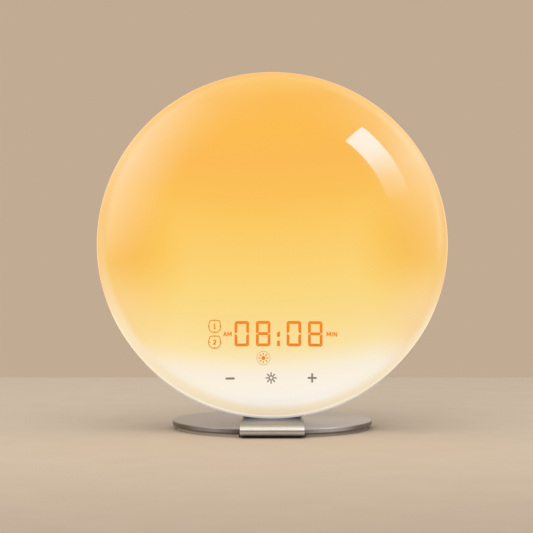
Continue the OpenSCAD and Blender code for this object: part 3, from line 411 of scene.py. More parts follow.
# Painted shade: the flat run is darker in front of the lamp
shade = addNode(tree, "MapRange", {
    0: part.outputs["Y"], 1: brushed["paintedShadeFrom"], 2: brushed["paintedShadeTo"], 3: brushed["paintedShade"], 4: 1.0},
    interpolation_type="SMOOTHSTEP")
tint = addNode(tree, "VectorMath", {0: tint, "Scale": shade}, operation="SCALE")
# Painted highlights, reflections and shade on the bend, in bands by height
bend = addNode(tree, "MapRange", {
    0: part.outputs["Y"], 1: brushed["bendFrom"], 2: brushed["bendTo"]}, interpolation_type="SMOOTHSTEP")
low, high = brushed["bandRange"]
height = addNode(tree, "MapRange", {0: part.outputs["Z"], 1: low * mm, 2: high * mm})
paintedBands = addNode(tree, "ValToRGB", {0: height}, brushed["paintedBands"], brushed["bandRange"])
tint = addNode(tree, "Mix", {0: bend, 6: tint, 7: paintedBands}, data_type="RGBA")
tree.links.new(tint.outputs[2], shader.inputs["Base Color"])
shader.inputs["Metallic"].default_value = 1
made["brushed_strip"] = material

# Turned stainless plate: rings too fine to see give it a satin top and streaks mark its edge. Colour
# by angle paints reflections over both: a faint bow-tie on the top, lighter to the right, and bright
# and dark sectors on the turned edge. Angles in degrees from the front, positive to the right
plate = dict(
    radius=57 * mm, edgeFrom=56.45 * mm, edgeTo=56.75 * mm, ring=0.4 * mm, ringDetail=2.0,
    streak=1.6 * mm, streakDetail=3.0, streakRough=0.6, bump=0.006 * mm, relief=0.5,
    shadeOver=(0.25, 0.75), shade=(0.88, 1.0), glossOver=(0.3, 0.7), rough=(0.28, 0.38),
    top={-180: "#b4b4b4", -130: "#a4a4a5", -90: "#9fa0a2", -50: "#a4a4a6", 0: "#abacae", 50: "#bec2c9",
         90: "#babec5", 130: "#aaacb0", 180: "#b4b4b4"},
    edge={-180: "#bcbab8", -150: "#736e6c", -120: "#69635f", -90: "#726a60", -58: "#857c70", -45: "#a5a6b2",
          -34: "#b2b2c0", -25: "#908b98", -18: "#6a6364", -10: "#98939c", 0: "#a9a7ab", 14: "#8d8b94",
          21: "#a4a8b3", 33: "#d2d8ea", 44: "#c5c9da", 55: "#918c92", 75: "#807a76", 110: "#6a6462",
          150: "#a5a2a2", 180: "#bcbab8"})
material, tree, shader, place = newMaterial("turned_stainless_painted_reflections")
flat = addNode(tree, "VectorMath", {0: place, 1: (1, 1, 0)}, operation="MULTIPLY").outputs[0]
out = addNode(tree, "VectorMath", {0: flat}, operation="LENGTH").outputs["Value"]
toward = addNode(tree, "VectorMath", {0: flat}, operation="NORMALIZE").outputs[0]
part = addNode(tree, "SeparateXYZ", {0: flat})
front = addNode(tree, "Math", {0: part.outputs["Y"], 1: -1.0}, operation="MULTIPLY")
angle = addNode(tree, "Math", {0: part.outputs["X"], 1: front}, operation="ARCTAN2")
angle = addNode(tree, "Math", {0: angle, 1: 180 / math.pi}, operation="MULTIPLY")
rings = addNode(tree, "TexNoise", {"W": out, "Scale": 1 / plate["ring"], "Detail": plate["ringDetail"]},
                noise_dimensions="1D")
streaks = addNode(tree, "TexNoise", {
    "Vector": toward, "Scale": plate["radius"] / plate["streak"], "Detail": plate["streakDetail"],
    "Roughness": plate["streakRough"]})
# Painted reflections: colour by angle on the top and on the edge
turn = addNode(tree, "MapRange", {0: angle, 1: -180, 2: 180}).outputs[0]
top = addNode(tree, "ValToRGB", {0: turn}, plate["top"], (-180, 180))
edge = addNode(tree, "ValToRGB", {0: turn}, plate["edge"], (-180, 180))
onEdge = addNode(tree, "MapRange", {0: out, 1: plate["edgeFrom"], 2: plate["edgeTo"]},
                 interpolation_type="SMOOTHSTEP").outputs[0]
tint = addNode(tree, "Mix", {0: onEdge, 6: top, 7: edge}, data_type="RGBA")
fine = addNode(tree, "Mix", {0: onEdge, 2: rings.outputs["Fac"], 3: streaks.outputs["Fac"]},
               data_type="FLOAT").outputs[0]
(low, high), (dark, light) = plate["shadeOver"], plate["shade"]
shade = addNode(tree, "MapRange", {0: fine, 1: low, 2: high, 3: dark, 4: light}).outputs[0]
tint = addNode(tree, "VectorMath", {0: tint.outputs[2], "Scale": shade}, operation="SCALE")
(low, high), (smooth, rough) = plate["glossOver"], plate["rough"]
gloss = addNode(tree, "MapRange", {0: fine, 1: low, 2: high, 3: smooth, 4: rough})
relief = addNode(tree, "Bump", {"Height": fine, "Distance": plate["bump"], "Strength": plate["relief"]})
tree.links.new(tint.outputs[0], shader.inputs["Base Color"])
tree.links.new(gloss.outputs[0], shader.inputs["Roughness"])
tree.links.new(relief.outputs[0], shader.inputs["Normal"])
shader.inputs["Metallic"].default_value = 1
made["satin_steel"] = material

# Foot pad, moulded grey silicone: dull. Painted shade makes it dark at the top, under the plate's
# edge, and it turns paler towards the table
pad = dict(thick=2 * mm, colours=("#8a8076", "#978d83"), grain=0.7, rough=(0.75, 0.9), bump=0.05, share=0.75,
           dusty={0: "#cdc0ae", 0.45: "#bdb1a1", 0.8: "#80766b", 1: "#5d554d"})
material, tree, shader, place = newMaterial("grey_silicone_painted_shade")
tint = grained(tree, place, shader, pad)
part = addNode(tree, "SeparateXYZ", {0: place})
# Painted shade by height: dark at the top, pale low down
height = addNode(tree, "MapRange", {0: part.outputs["Z"], 1: 0, 2: pad["thick"]})
padShade = addNode(tree, "ValToRGB", {0: height}, pad["dusty"])
tint = addNode(tree, "Mix", {0: pad["share"], 6: tint, 7: padShade}, data_type="RGBA")
tree.links.new(tint.outputs[2], shader.inputs["Base Color"])
made["stand_foot_pad"] = material

# A node with a finish of its own takes that, and the others take the one of their slot
for name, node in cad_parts.items():
    for holder in node.material_slots:
        holder.material = made.get(name) or made[holder.material.name.split(".")[0]]
print("finishes ready", len(made))

# Opal dome. Its glow is given by height on the face, and the sides keep a deeper amber. A pale
# sickle on each side is partly light that the rim guides and partly a painted reflection. The
# shoulder has a tone of its own, with painted shade where it turns down at the bottom, a fine
# thread on the right that is a painted highlight, and a deep brim at its foot, a painted shade
# that holds back the sheen of the grazing edge. Places on the face are in units of the lamp's
# radius from its middle, which lies a little aside for sickles, shoulder and thread, and in
# degrees from the right
dome = dict(
    steps=288, crownRows=64, shoulderRows=24, spigotIn=96.2 * mm, spigotOut=97.6 * mm, spigotEnd=-5 * mm,
    bead=0.5 * mm, beadAt=-3 * mm, beadHeight=1.2 * mm, beadFlat=0.2 * mm, rootZ=1.5 * mm,
    glowRange=(-1.2, 1.0), glowBend=0.17, glowTilt=0.04,
    glow={-1.2: "#f9f5eb", -0.92: "#f9f4eb", -0.84: "#f8f2e3", -0.8: "#f8efe0", -0.75: "#f8edd0",
          -0.7: "#f8e6b8", -0.65: "#f8e1a2", -0.58: "#f8dc94", -0.5: "#f7d98a", -0.3: "#f7d378",
          -0.1: "#f7ca67", 0.0: "#f6c65c", 0.2: "#f4b946", 0.4: "#f3b342", 0.6: "#f3b33a",
          0.8: "#f2b23d", 0.9: "#f2ba54", 1.0: "#f2be62"},
    ambers=((-0.84, -0.19, 0), (0.84, -0.13, 0)), amberReach=0.44, amberGain=0.42, amberTall=0.85,
    sickle="#f8d39e", sickleFrom=0.62, sickleTo=0.94, sicklePower=1.3, aside=0.015,
    sickleAt={-180: 0.5, -170: 0.2, -152: 0.62, -130: 0.1, -50: 0.06, -30: 0.88, -10: 0.26, 10: 0.42,
              30: 0.92, 50: 0.36, 70: 0.12, 90: 0.04, 110: 0.24, 130: 0.68, 150: 0.9, 170: 0.65, 180: 0.5},
    rim={-1.0: "#f5e0c1", -0.95: "#f6e4c3", -0.75: "#f6e6c6", -0.5: "#f8e3b9", -0.17: "#f7cd86",
         0.17: "#f4c478", 0.49: "#f1c37c", 0.75: "#f0b65a", 0.92: "#eba83a", 1.0: "#e8a02e"},
    rimFrom=0.938, rimTo=0.98, own=0.8, strength=0.83, roughness=0.03, ior=1.49,
    threadHighlight="#fbe4b0", threadRange=(0.88, 0.98), threadOver={0.905: 0.0, 0.935: 1.0, 0.957: 0.0},
    threadAt={-180: 0.0, -12: 0.0, 0: 0.44, 10: 0.4, 20: 0.06, 30: 0.1, 40: 0.33, 52: 0.22, 62: 0.2, 75: 0.0,
              90: 0.0, 180: 0.0},
    brimShade="#d8932c", brimFrom=0.078, brimTo=0.03, brimAt={-1.0: 0.0, -0.45: 0.0, -0.05: 0.5, 1.0: 0.5})

# Opal acrylic, moulded and glossy: lit from inside, the colour comes through as a soft glow and
# the surface keeps a clear sheen
material, tree, shader, place = newMaterial("opal_acrylic")
face, part = lampSpace(tree, place)
flat = addNode(tree, "VectorMath", {0: face, 1: (1, 1, 0)}, operation="MULTIPLY").outputs[0]
radius = addNode(tree, "VectorMath", {0: flat}, operation="LENGTH").outputs["Value"]
slope = addNode(tree, "Math", {0: part.outputs["X"], 1: -dome["glowBend"], 2: -dome["glowTilt"]},
                operation="MULTIPLY_ADD")
height = addNode(tree, "Math", {0: slope, 1: part.outputs["X"], 2: part.outputs["Y"]},
                 operation="MULTIPLY_ADD")
for spot in dome["ambers"]:
    apart = addNode(tree, "VectorMath", {0: flat, 1: spot}, operation="SUBTRACT")
    apart = addNode(tree, "VectorMath", {0: apart, 1: (1, dome["amberTall"], 0)}, operation="MULTIPLY")
    apart = addNode(tree, "VectorMath", {0: apart}, operation="LENGTH")
    amber = addNode(tree, "MapRange", {
        0: apart.outputs["Value"], 1: 0.0, 2: dome["amberReach"], 3: dome["amberGain"], 4: 0.0},
        interpolation_type="SMOOTHSTEP")
    height = addNode(tree, "Math", {0: height, 1: amber}, operation="ADD")
low, high = dome["glowRange"]
height = addNode(tree, "MapRange", {0: height, 1: low, 2: high})
colour = addNode(tree, "ValToRGB", {0: height}, dome["glow"], dome["glowRange"])
# Painted reflection, partly rim glow: the sickles, paler by angle round the rim
angle = addNode(tree, "Math", {0: part.outputs["Y"], 1: part.outputs["X"]}, operation="ARCTAN2")
angle = addNode(tree, "Math", {0: angle, 1: 180 / math.pi}, operation="MULTIPLY")
turn = addNode(tree, "MapRange", {0: angle, 1: -180, 2: 180}).outputs[0]
around = addNode(tree, "ValToRGB", {0: turn}, dome["sickleAt"], (-180, 180))
radius = addNode(tree, "Math", {0: part.outputs["X"], 1: -dome["aside"], 2: radius},
                 operation="MULTIPLY_ADD").outputs[0]
inwards = addNode(tree, "MapRange", {0: radius, 1: dome["sickleFrom"], 2: dome["sickleTo"]})
inwards = addNode(tree, "Math", {0: inwards, 1: dome["sicklePower"]}, operation="POWER")
sickleGlowAndSheen = addNode(tree, "Math", {0: around, 1: inwards}, operation="MULTIPLY")
colour = addNode(tree, "Mix", {0: sickleGlowAndSheen, 6: colour, 7: linear(dome["sickle"])}, data_type="RGBA")
# The shoulder's tone by height up the face, with painted shade low down
up = addNode(tree, "MapRange", {0: part.outputs["Y"], 1: -1, 2: 1}).outputs[0]
rim = addNode(tree, "ValToRGB", {0: up}, dome["rim"], (-1, 1))
edge = addNode(tree, "MapRange", {0: radius, 1: dome["rimFrom"], 2: dome["rimTo"]},
               interpolation_type="SMOOTHSTEP")
colour = addNode(tree, "Mix", {0: edge, 6: colour.outputs[2], 7: rim}, data_type="RGBA")
# The thread, a painted highlight, lies along the shoulder, and the brim, a painted shade, deepens the
# last of it before the seam
low, high = dome["threadRange"]
across = addNode(tree, "MapRange", {0: radius, 1: low, 2: high})
across = addNode(tree, "ValToRGB", {0: across}, dome["threadOver"], dome["threadRange"])
around = addNode(tree, "ValToRGB", {0: turn}, dome["threadAt"], (-180, 180))
threadHighlight = addNode(tree, "Math", {0: across, 1: around}, operation="MULTIPLY")
colour = addNode(tree, "Mix", {0: threadHighlight, 6: colour.outputs[2], 7: linear(dome["threadHighlight"])}, data_type="RGBA")
down = addNode(tree, "MapRange", {0: part.outputs["Z"], 1: dome["brimFrom"], 2: dome["brimTo"]},
               interpolation_type="SMOOTHSTEP")
around = addNode(tree, "ValToRGB", {0: up}, dome["brimAt"], (-1, 1))
brimShade = addNode(tree, "Math", {0: down, 1: around}, operation="MULTIPLY")
colour = addNode(tree, "Mix", {0: brimShade, 6: colour.outputs[2], 7: linear(dome["brimShade"])}, data_type="RGBA")
own = addNode(tree, "Mix", {0: 1.0, 6: colour.outputs[2], 7: linear(1 - dome["own"])},
              data_type="RGBA", blend_type="MULTIPLY")
tree.links.new(own.outputs[2], shader.inputs["Base Color"])
tree.links.new(colour.outputs[2], shader.inputs["Emission Color"])
shader.inputs["Emission Strength"].default_value = dome["strength"]
shader.inputs["Roughness"].default_value = dome["roughness"]
shader.inputs["IOR"].default_value = dome["ior"]
opalAcrylic = material


def domeSide(inset):
    # Crown arc from the axis outwards, then the tighter shoulder arc down to the seam
    turn = math.degrees(lamp["blend"])
    crown = arcPoints((0, lamp["crownZ"]), lamp["crownRadius"] - inset, 90, 90 - turn, dome["crownRows"])
    shoulder = arcPoints(
        (lamp["shoulderAt"], 0), lamp["shoulderRadius"] - inset, 90 - turn, 0, dome["shoulderRows"])
    return np.concatenate([crown, shoulder[1:]])


def revolve(profile, steps):
    # A profile of (radius, height) turned about the axis: (r cos a, r sin a, h). Both of its ends
    # lie on the axis and close in a fan
    a = np.arange(steps) * 2 * math.pi / steps
    ring = profile[1:-1]
    grid = np.stack([ring[:, :1] * np.cos(a), ring[:, :1] * np.sin(a),
                     np.repeat(ring[:, 1:], steps, axis=1)], axis=-1).reshape(-1, 3)
    points = np.concatenate([grid, [[0, 0, profile[0, 1]], [0, 0, profile[-1, 1]]]])
    j = np.arange(steps)
    first, last, tip = len(grid), len(grid) + 1, (len(ring) - 1) * steps
    faces = gridFaces(len(ring), steps)[:, ::-1].tolist()
    faces += np.stack([np.full(steps, first), j, (j + 1) % steps], axis=-1).tolist()
    faces += np.stack([np.full(steps, last), tip + (j + 1) % steps, tip + j], axis=-1).tolist()
    return points, faces


inner = domeSide(lamp["wall"])[::-1]
inside, outside, bead = dome["spigotIn"], dome["spigotOut"], dome["spigotOut"] + dome["bead"]
at, half, flat = dome["beadAt"], dome["beadHeight"] / 2, dome["beadFlat"] / 2
spigot = np.array([
    (outside, 0), (outside, at + half), (bead, at + flat), (bead, at - flat), (outside, at - half),
    (outside, dome["spigotEnd"]), (inside, dome["spigotEnd"]), (inside, dome["rootZ"])])
profile = np.concatenate([domeSide(0), spigot, inner[inner[:, 1] > dome["rootZ"]]])
profile[0, 0] = profile[-1, 0] = 0
points, faces = revolve(profile, dome["steps"])
domePiece = addPiece("opal_dome", [(fromLamp(*points.T), faces)], opalAcrylic)
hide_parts("front_diffuser")
print("dome", len(faces))

# Rolled lip of the rear shell along the lower rim. It swells out of the rim at both sides, and its
# section is a quarter ellipse in front, a flat top and a longer quarter ellipse behind
lip = dict(proud=1.1 * mm, least=0.021 * mm, sunk=0.5 * mm, start=0.07 * mm, front=0.4 * mm, crest=-0.9 * mm,
           flatTo=-1.4 * mm, back=-5.5 * mm, swell=(0.4, 0.95), ends=(-157, -23), steps=135, arcSteps=9)
a = np.radians(np.linspace(*lip["ends"], lip["steps"]))[:, None]
share = ease(abs(np.sin(a)), *lip["swell"])
q = np.linspace(0, math.pi / 2, lip["arcSteps"])
rise = np.concatenate([np.sin(q), np.cos(q)])
height = np.concatenate([lip["crest"] + (lip["front"] - lip["crest"]) * np.cos(q),
                         lip["flatTo"] + (lip["back"] - lip["flatTo"]) * np.sin(q),
                         [lip["back"], lip["front"] - lip["sunk"] / 2]])
radius = lamp["radius"] - lip["start"] + (lip["proud"] * share + lip["least"]) * rise
inside = np.full((len(a), 2), lamp["radius"] - lip["sunk"])
radius = np.concatenate([radius, inside], axis=1)
grid = fromLamp(radius * np.cos(a), radius * np.sin(a), height[None, :])
# The lip takes the shell's finish, its painted glow included
addPiece("shell_lip", [(grid, capped(*grid.shape[:2]))], made["rear_shell"])

# Marks: every stroke is a thin bar that lies on the surface and stands a little proud of it
marks = dict(proud=0.12 * mm, sunk=0.06 * mm, mitre=0.4)


def onDome(flat, lift):
    # Points (x, v) in mm, laid on the dome and lifted off it
    x, v = flat[..., 0] * mm, flat[..., 1] * mm
    return fromLamp(x, v, domeHeight(x, v) + lift)


def stroke(path, width, closed=False):
    # A flat band along a path: its two sides lie half a width off, along the mitre of each corner
    path = np.asarray(path, float)
    after = np.roll(path, -1, axis=0) - path
    before = path - np.roll(path, 1, axis=0)
    if not closed:
        after[-1], before[0] = before[-1], after[0]
    after /= np.linalg.norm(after, axis=1, keepdims=True)
    before /= np.linalg.norm(before, axis=1, keepdims=True)
    side = np.stack([-(after + before)[:, 1], (after + before)[:, 0]], axis=-1)
    side /= np.linalg.norm(side, axis=1, keepdims=True)
    square = np.stack([-after[:, 1], after[:, 0]], axis=-1)
    side *= (width / 2) / np.maximum((side * square).sum(axis=1, keepdims=True), marks["mitre"])
    return dict(left=path + side, right=path - side, closed=closed)


def circlePath(centre, radius, count=40):
    # Points of a full circle, without the last, which would be the first again
    return arcPoints(centre, radius, 0, 360, count + 1)[:-1]


def filled(corners):
    # A filled convex shape, as two chains of points that face each other
    corners = np.asarray(corners, float)
    half = len(corners) // 2
    return dict(left=corners[:half][::-1], right=corners[half:2 * half], closed=False)


def raised(shapes, lay=onDome):
    # Every band becomes a closed bar: top left, top right, bottom right, bottom left along its path
    shells = []
    for shape in shapes:
        left, right, rows = shape["left"], shape["right"], len(shape["left"])
        ring = np.stack([lay(left, marks["proud"]), lay(right, marks["proud"]),
                         lay(right, -marks["sunk"]), lay(left, -marks["sunk"])], axis=1)
        faces = gridFaces(rows, 4, loop=True).tolist() if shape["closed"] else capped(rows, 4)
        shells.append((ring.reshape(-1, 3), faces))
    return shells


def rays(centre, near, far, width, count=8):
    # Short strokes that point away from a centre
    a = np.arange(count) * 2 * math.pi / count
    ends = np.stack([np.cos(a), np.sin(a)], axis=-1)
    return [stroke([centre + near * end, centre + far * end], width) for end in ends]


# Digits, in mm. cross holds how far the middle bar's tips stand off the upright bars' centre lines
# and its shoulders reach past their inner sides; upright holds how far an upright bar's outer corner
# and tip stand off the digit's middle, and its inner corner off the middle bar
digits = dict(places=(-16.79, -4.97, 11.97, 23.79), shown="0808", middle=-56.72, width=8.0, height=13.7,
              stroke=1.55, gap=0.07, corner=0.75, cross=(0.1, 0.05), upright=(0.35, 0.3, 0.25))
segmentsOf = {"0": "abcdef", "8": "abcdefg"}


def segmentShape(letter, centre):
    # One bar of a digit, mitred where it meets its neighbours
    w, h, t, g = digits["width"] / 2, digits["height"] / 2, digits["stroke"], digits["gap"]
    c, (tip, shoulder), (outside, point, inside) = digits["corner"], digits["cross"], digits["upright"]
    if letter in "ad":
        s = 1 if letter == "a" else -1
        shape = [(-w + c, s * h), (w - c, s * h), (w - c / 2 - g, s * (h - c / 2)), (w - t - g, s * (h - t)),
                 (-w + t + g, s * (h - t)), (-w + c / 2 + g, s * (h - c / 2))]
    elif letter == "g":
        shape = [(-w + t / 2 + tip, 0), (-w + t - shoulder, t / 2), (w - t + shoulder, t / 2),
                 (w - t / 2 - tip, 0), (w - t + shoulder, -t / 2), (-w + t - shoulder, -t / 2)]
    else:
        s, u = (1 if letter in "bc" else -1), (1 if letter in "bf" else -1)
        shape = [(s * w, u * (h - c)), (s * w, u * outside), (s * (w - t / 2), u * point),
                 (s * (w - t), u * (t / 2 + inside)), (s * (w - t), u * (h - t - g)),
                 (s * (w - c / 2), u * (h - c / 2 - g))]
    return filled(np.array(shape) + centre)


shapes = [segmentShape(letter, (at, digits["middle"]))
          for at, figure in zip(digits["places"], digits["shown"]) for letter in segmentsOf[figure]]
colon = dict(at=3.47, width=1.7, upper=(-55.44, -58.46), lower=(-60.57, -63.48), cut=0.8)
half = colon["width"] / 2
for (top, bottom), cut in ((colon["upper"], colon["cut"]), (colon["lower"], 0)):
    shapes.append(filled([(colon["at"] - half, top - cut), (colon["at"] + half, top),
                          (colon["at"] + half, bottom), (colon["at"] - half, bottom)]))

letters = dict(height=2.3, stroke=0.56, rise=-57.95, words=(("AM", -26.9, 0.3), ("MIN", 30.3, 0.42)))
glyphs = {  # strokes and width of a letter, in units of its height
    "A": ([[(0, 0), (0.36, 1)], [(0.36, 1), (0.72, 0)], [(0.14, 0.33), (0.58, 0.33)]], 0.72),
    "M": ([[(0, 0), (0, 1)], [(0.04, 1), (0.42, 0.2)], [(0.42, 0.2), (0.8, 1)], [(0.84, 0), (0.84, 1)]],
          0.84),
    "I": ([[(0, 0), (0, 1)]], 0.0),
    "N": ([[(0, 0), (0, 1)], [(0.04, 1), (0.62, 0)], [(0.66, 0), (0.66, 1)]], 0.66),
    "1": ([[(0.05, 0.78), (0.3, 1), (0.3, 0)], [(0.02, 0), (0.58, 0)]], 0.6),
    "2": ([[(0.02, 0.74), (0.1, 0.93), (0.3, 1), (0.5, 0.93), (0.57, 0.74), (0.5, 0.5), (0.02, 0.02),
            (0.6, 0.02)]], 0.6),
    "+": ([[(0, 0.5), (1, 0.5)], [(0.5, 0), (0.5, 1)]], 1.0),
    "-": ([[(0, 0.5), (1, 0.5)]], 1.0),
}


def wordShapes(word, left, bottom, height, width, spacing=0):
    # Strokes of each letter, set side by side from the left, with a spacing in units of its height
    shapes = []
    for letter in word:
        strokes, wide = glyphs[letter]
        shapes += [stroke(np.array(path) * height + (left, bottom), width) for path in strokes]
        left += (wide + spacing) * height
    return shapes


for word, left, spacing in letters["words"]:
    shapes += wordShapes(word, left, letters["rise"], letters["height"], letters["stroke"], spacing)

alarm = dict(radius=3.4, stroke=0.52, bell=0.55, bells=(50, 130), spread=0.22, steps=64, tick=(3.2, 2.5),
             ticks=4, figure=2.2, bold=0.68, places=((-31.79, -52.56, "1"), (-31.78, -61.08, "2")))
symbols = []
for x, v, figure in alarm["places"]:
    # The clock's ring swells into two bells at its shoulders
    a = np.arange(alarm["steps"]) * 2 * math.pi / alarm["steps"]
    swell = sum(np.exp(-((a - math.radians(bell)) / alarm["spread"]) ** 2) for bell in alarm["bells"])
    reach = alarm["radius"] + alarm["bell"] * swell
    ring = np.stack([x + reach * np.cos(a), v + reach * np.sin(a)], axis=-1)
    symbols.append(stroke(ring, alarm["stroke"], closed=True))
    symbols += rays(np.array((x, v)), *alarm["tick"], alarm["stroke"], alarm["ticks"])
    size, wide = alarm["figure"], glyphs[figure][1]
    symbols += wordShapes(figure, x - wide * size / 2, v - size / 2, size, alarm["bold"])

sun = dict(at=(-4.86, -69.9), ring=3.65, ringStroke=0.28, ringSteps=48, dot=1.1, dotSteps=24,
           rays=(1.65, 2.75), ray=0.62)
shapes += rays(np.array(sun["at"]), *sun["rays"], sun["ray"])
shapes.append(filled(circlePath(sun["at"], sun["dot"], sun["dotSteps"])))
thinRing = stroke(circlePath(sun["at"], sun["ring"], sun["ringSteps"]), sun["ringStroke"], closed=True)

# Light of the LED segments as it comes through the acrylic: even and saturated
ledLight = dict(grain=3, rough=(0.25, 0.35), bump=0.01)
for name, bars, light, colours, strength in (
        ("clock_figures", shapes, "orange_led_light", ("#e87c02", "#ec8608"), 0.19),
        ("small_symbols", symbols, "amber_led_light", ("#da861e", "#df8f28"), 0.2),
        ("sun_ring", [thinRing], "pale_amber_light", ("#cf9a54", "#d4a260"), 0.2)):
    material, tree, shader, place = newMaterial(light)
    tint = grained(tree, place, shader, dict(ledLight, colours=colours))
    tree.links.new(tint, shader.inputs["Emission Color"])
    shader.inputs["Emission Strength"].default_value = strength
    addPiece(name, raised(bars), material)

touch = dict(minus=(-23.27, -80.8, 5.0, 1.15), light=(-0.61, -80.6), plus=(22.1, -80.48, 2.48, 1.05),
             ring=1.12, ringSteps=32, rays=(1.6, 3.05), ray=0.72)
x, v, long, wide = touch["minus"]
shapes = [stroke([(x - long / 2, v), (x + long / 2, v)], wide)]
x, v, arm, wide = touch["plus"]
shapes.append(stroke([(x - arm, v), (x + arm, v)], wide))
for s in (-1, 1):
    shapes.append(stroke([(x, v + s * wide / 2), (x, v + s * arm)], wide))
ring = circlePath(touch["light"], touch["ring"], touch["ringSteps"])
shapes.append(stroke(ring, touch["ray"], closed=True))
shapes += rays(np.array(touch["light"]), *touch["rays"], touch["ray"])

# Grey pad-printed ink, slightly uneven as thin ink is
ink = dict(grain=0.6, colours=("#8b857e", "#979189"), rough=(0.45, 0.55), bump=0.01)
greyInk, tree, shader, place = newMaterial("grey_pad_print")
grained(tree, place, shader, ink)
addPiece("touch_marks", raised(shapes), greyInk)
print("marks ready")

# Folded strip: a rounded rectangle carried along its bent centre line in the y-z plane, in mm
strip = dict(
    width=35, thick=1.2, soft=0.25, softSteps=5, corner=4, cornerSteps=14, start=(-45.2, 1.4),
    lip=(-57.2, 3.8), lipRadius=2.4, lipArc=(270, 90, 41), heel=(6.247, 10.8), heelRadius=4.6,
    heelArc=(-90, -12, 25), end=(25.195, 77.815), collars=(-10, 10), collarY=-1, collarSteps=48,
    collar=((2.6, 5.7), (2.6, 7.9), (2.52, 8.04), (2.4, 8.1), (1.7, 8.1), (1.57, 8.04), (1.5, 7.9),
            (1.5, 5.7)))


def stripSection(half, inset):
    # Rounded rectangle of half widths (half - inset) and (thick / 2 - inset), with soft corners
    r = strip["soft"]
    wide, high = half - inset - r, strip["thick"] / 2 - inset - r
    corners = [arcPoints((sx * wide, sy * high), r, start, start + 90, strip["softSteps"])
               for sx, sy, start in ((1, 1, 0), (-1, 1, 90), (-1, -1, 180), (1, -1, 270))]
    return np.concatenate(corners)


# Stations near both ends are close together, so that the ends and the top corners come out round
ends = strip["soft"] * (1 - np.cos(np.linspace(0, math.pi / 2, strip["softSteps"])))
topSteps = strip["corner"] * (1 - np.cos(np.linspace(0, math.pi / 2, strip["cornerSteps"])))[1:]
topSteps = np.unique(np.round(np.concatenate([ends, topSteps]), 6))
lipArc = arcPoints(strip["lip"], strip["lipRadius"], *strip["lipArc"])
heelArc = arcPoints(strip["heel"], strip["heelRadius"], *strip["heelArc"])
along = np.array(strip["end"]) - heelArc[-1]
along /= np.linalg.norm(along)
path = np.concatenate([
    np.stack([strip["start"][0] - ends, np.full_like(ends, strip["start"][1])], axis=-1),
    lipArc, heelArc, np.array(strip["end"]) - topSteps[::-1, None] * along])
fromStart = np.linalg.norm(path - np.array(strip["start"]), axis=1)
fromEnd = np.linalg.norm(path - np.array(strip["end"]), axis=1)
tangent = np.gradient(path, axis=0)
tangent /= np.linalg.norm(tangent, axis=1, keepdims=True)
# Where a straight run meets an arc, the run's own direction holds
intoArc = len(ends) + np.array([0, len(lipArc)])
outOfArc = intoArc + np.array([len(lipArc), len(heelArc)]) - 1
tangent[intoArc] = path[intoArc] - path[intoArc - 1]
tangent[outOfArc] = path[outOfArc + 1] - path[outOfArc]
tangent /= np.linalg.norm(tangent, axis=1, keepdims=True)
rounding = np.clip(strip["corner"] - fromEnd, 0, None)
half = strip["width"] / 2 - strip["corner"] + np.sqrt(strip["corner"] ** 2 - rounding ** 2)
shortfall = np.clip(strip["soft"] - np.minimum(fromStart, fromEnd), 0, None)
inset = strip["soft"] - np.sqrt(strip["soft"] ** 2 - shortfall ** 2)
section = np.stack([stripSection(h, i) for h, i in zip(half, inset)])
grid = np.stack([
    section[..., 0], path[:, :1] - tangent[:, 1:] * section[..., 1],
    path[:, 1:] + tangent[:, :1] * section[..., 1]], axis=-1) * mm
shells = [(grid, capped(*grid.shape[:2]))]
steps, ring = strip["collarSteps"], np.array(strip["collar"])
a = np.arange(steps) * 2 * math.pi / steps
for x in strip["collars"]:
    grid = np.stack([x + ring[:, :1] * np.cos(a), strip["collarY"] + ring[:, :1] * np.sin(a),
                     np.repeat(ring[:, 1:], steps, axis=1)], axis=-1) * mm
    shells.append((grid, gridFaces(len(ring), steps, loop=True)))
piece = addPiece("folded_strip", shells, made["brushed_strip"], sharp=50)
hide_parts("stand_strip")
print("strip", len(path))

# Keys at the back: rings of a rounded bar (a spine along x, offset by r) at depth z, in mm. The
# face of each is dished for the finger
key = dict(
    first=-45, pitch=18, v=-3, spine=2.5, guide=4.7, guideZ=(-30.7, -31.7), chamfer=0.15, body=3.3,
    shoulder=-34.7, fillet=0.5, filletSteps=7, face=-35.2, dish=0.25, innermost=0.2, faceRings=9, endSteps=25,
    symbols=("+", "-", "note", "2", "1", "clock"), size=2.7, stroke=0.5, bold=1.2,
    hands=((0, 0.3), (0, 0), (0.2, 0)), noteHead=(-0.4, -0.9), noteRadius=0.55, noteSteps=20,
    noteStem=((0.1, -0.9), (0.1, 1.3), (0.55, 0.95), (0.95, 0.3)))


def keyFace(r):
    # Depth of the dished face at a distance r from the spine: deepest along the spine
    edge = key["body"] - key["fillet"]
    return key["face"] + key["dish"] * (1 - np.clip(r / edge, 0, 1) ** 2)


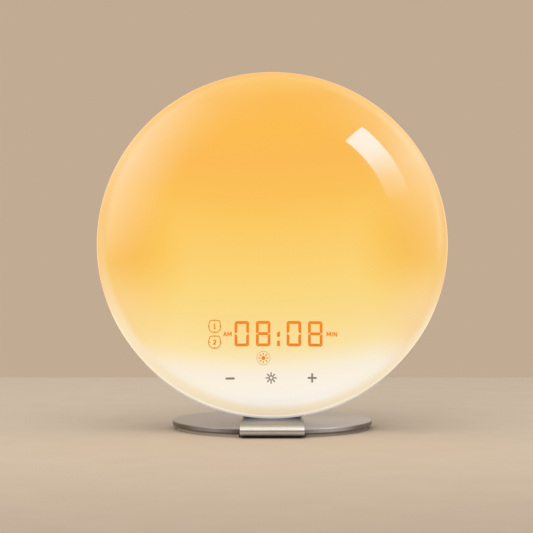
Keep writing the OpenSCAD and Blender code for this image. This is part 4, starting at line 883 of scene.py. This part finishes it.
def keyShell(centre):
    # Rings of half width r at depth z: x = centre +- spine + r cos a, v = r sin a. They run up the
    # guide and the body, over the fillet and in along the dish
    guide, (foot, top), chamfer = key["guide"], key["guideZ"], key["chamfer"]
    edge = key["body"] - key["fillet"]
    fillet = arcPoints((edge, key["shoulder"]), key["fillet"], 0, -90, key["filletSteps"])
    across = np.linspace(edge, key["innermost"], key["faceRings"])[1:]
    rings = np.concatenate([
        [(guide - chamfer, foot), (guide, foot - chamfer), (guide, top), (key["body"], top)],
        fillet, np.stack([across, keyFace(across)], axis=-1)])
    steps = key["endSteps"]
    a = np.radians(np.concatenate([np.linspace(-90, 90, steps), np.linspace(90, 270, steps)]))
    x = centre + np.repeat([1, -1], steps) * key["spine"] + rings[:, :1] * np.cos(a)
    v = key["v"] + rings[:, :1] * np.sin(a)
    z = np.repeat(rings[:, 1:], 2 * steps, axis=1)
    return fromLamp(x * mm, v * mm, z * mm), capped(len(rings), 2 * steps)


def keySymbol(symbol):
    # Strokes of a key's symbol round its middle
    size, width = key["size"], key["stroke"]
    if symbol == "clock":
        return [stroke(circlePath((0, 0), size / 2), width, closed=True),
                stroke(np.array(key["hands"]) * size, width)]
    if symbol == "note":
        return [filled(circlePath(key["noteHead"], key["noteRadius"], key["noteSteps"])),
                stroke(key["noteStem"], width)]
    wide = glyphs[symbol][1]
    return wordShapes(symbol, -wide * size / 2, -size / 2, size, width * key["bold"])


for k, symbol in enumerate(key["symbols"]):
    body, centre = "key_%d_body" % (k + 1), key["first"] + key["pitch"] * k

    def onKey(flat, lift):
        # Seen from behind, x runs the other way; the mark follows the dish and is half as proud
        x, v = flat[..., 0], flat[..., 1]
        r = np.hypot(np.clip(abs(x) - key["spine"], 0, None), v)
        return fromLamp((centre - x) * mm, (key["v"] + v) * mm, keyFace(r) * mm - lift / 2)

    cap = addPiece("key_%d_cap" % (k + 1), [keyShell(centre)], made["key_white"], body)
    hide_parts("key_%d" % (k + 1))
    addPiece("key_%d_mark" % (k + 1), raised(keySymbol(symbol), onKey), greyInk, body)
print("keys ready")
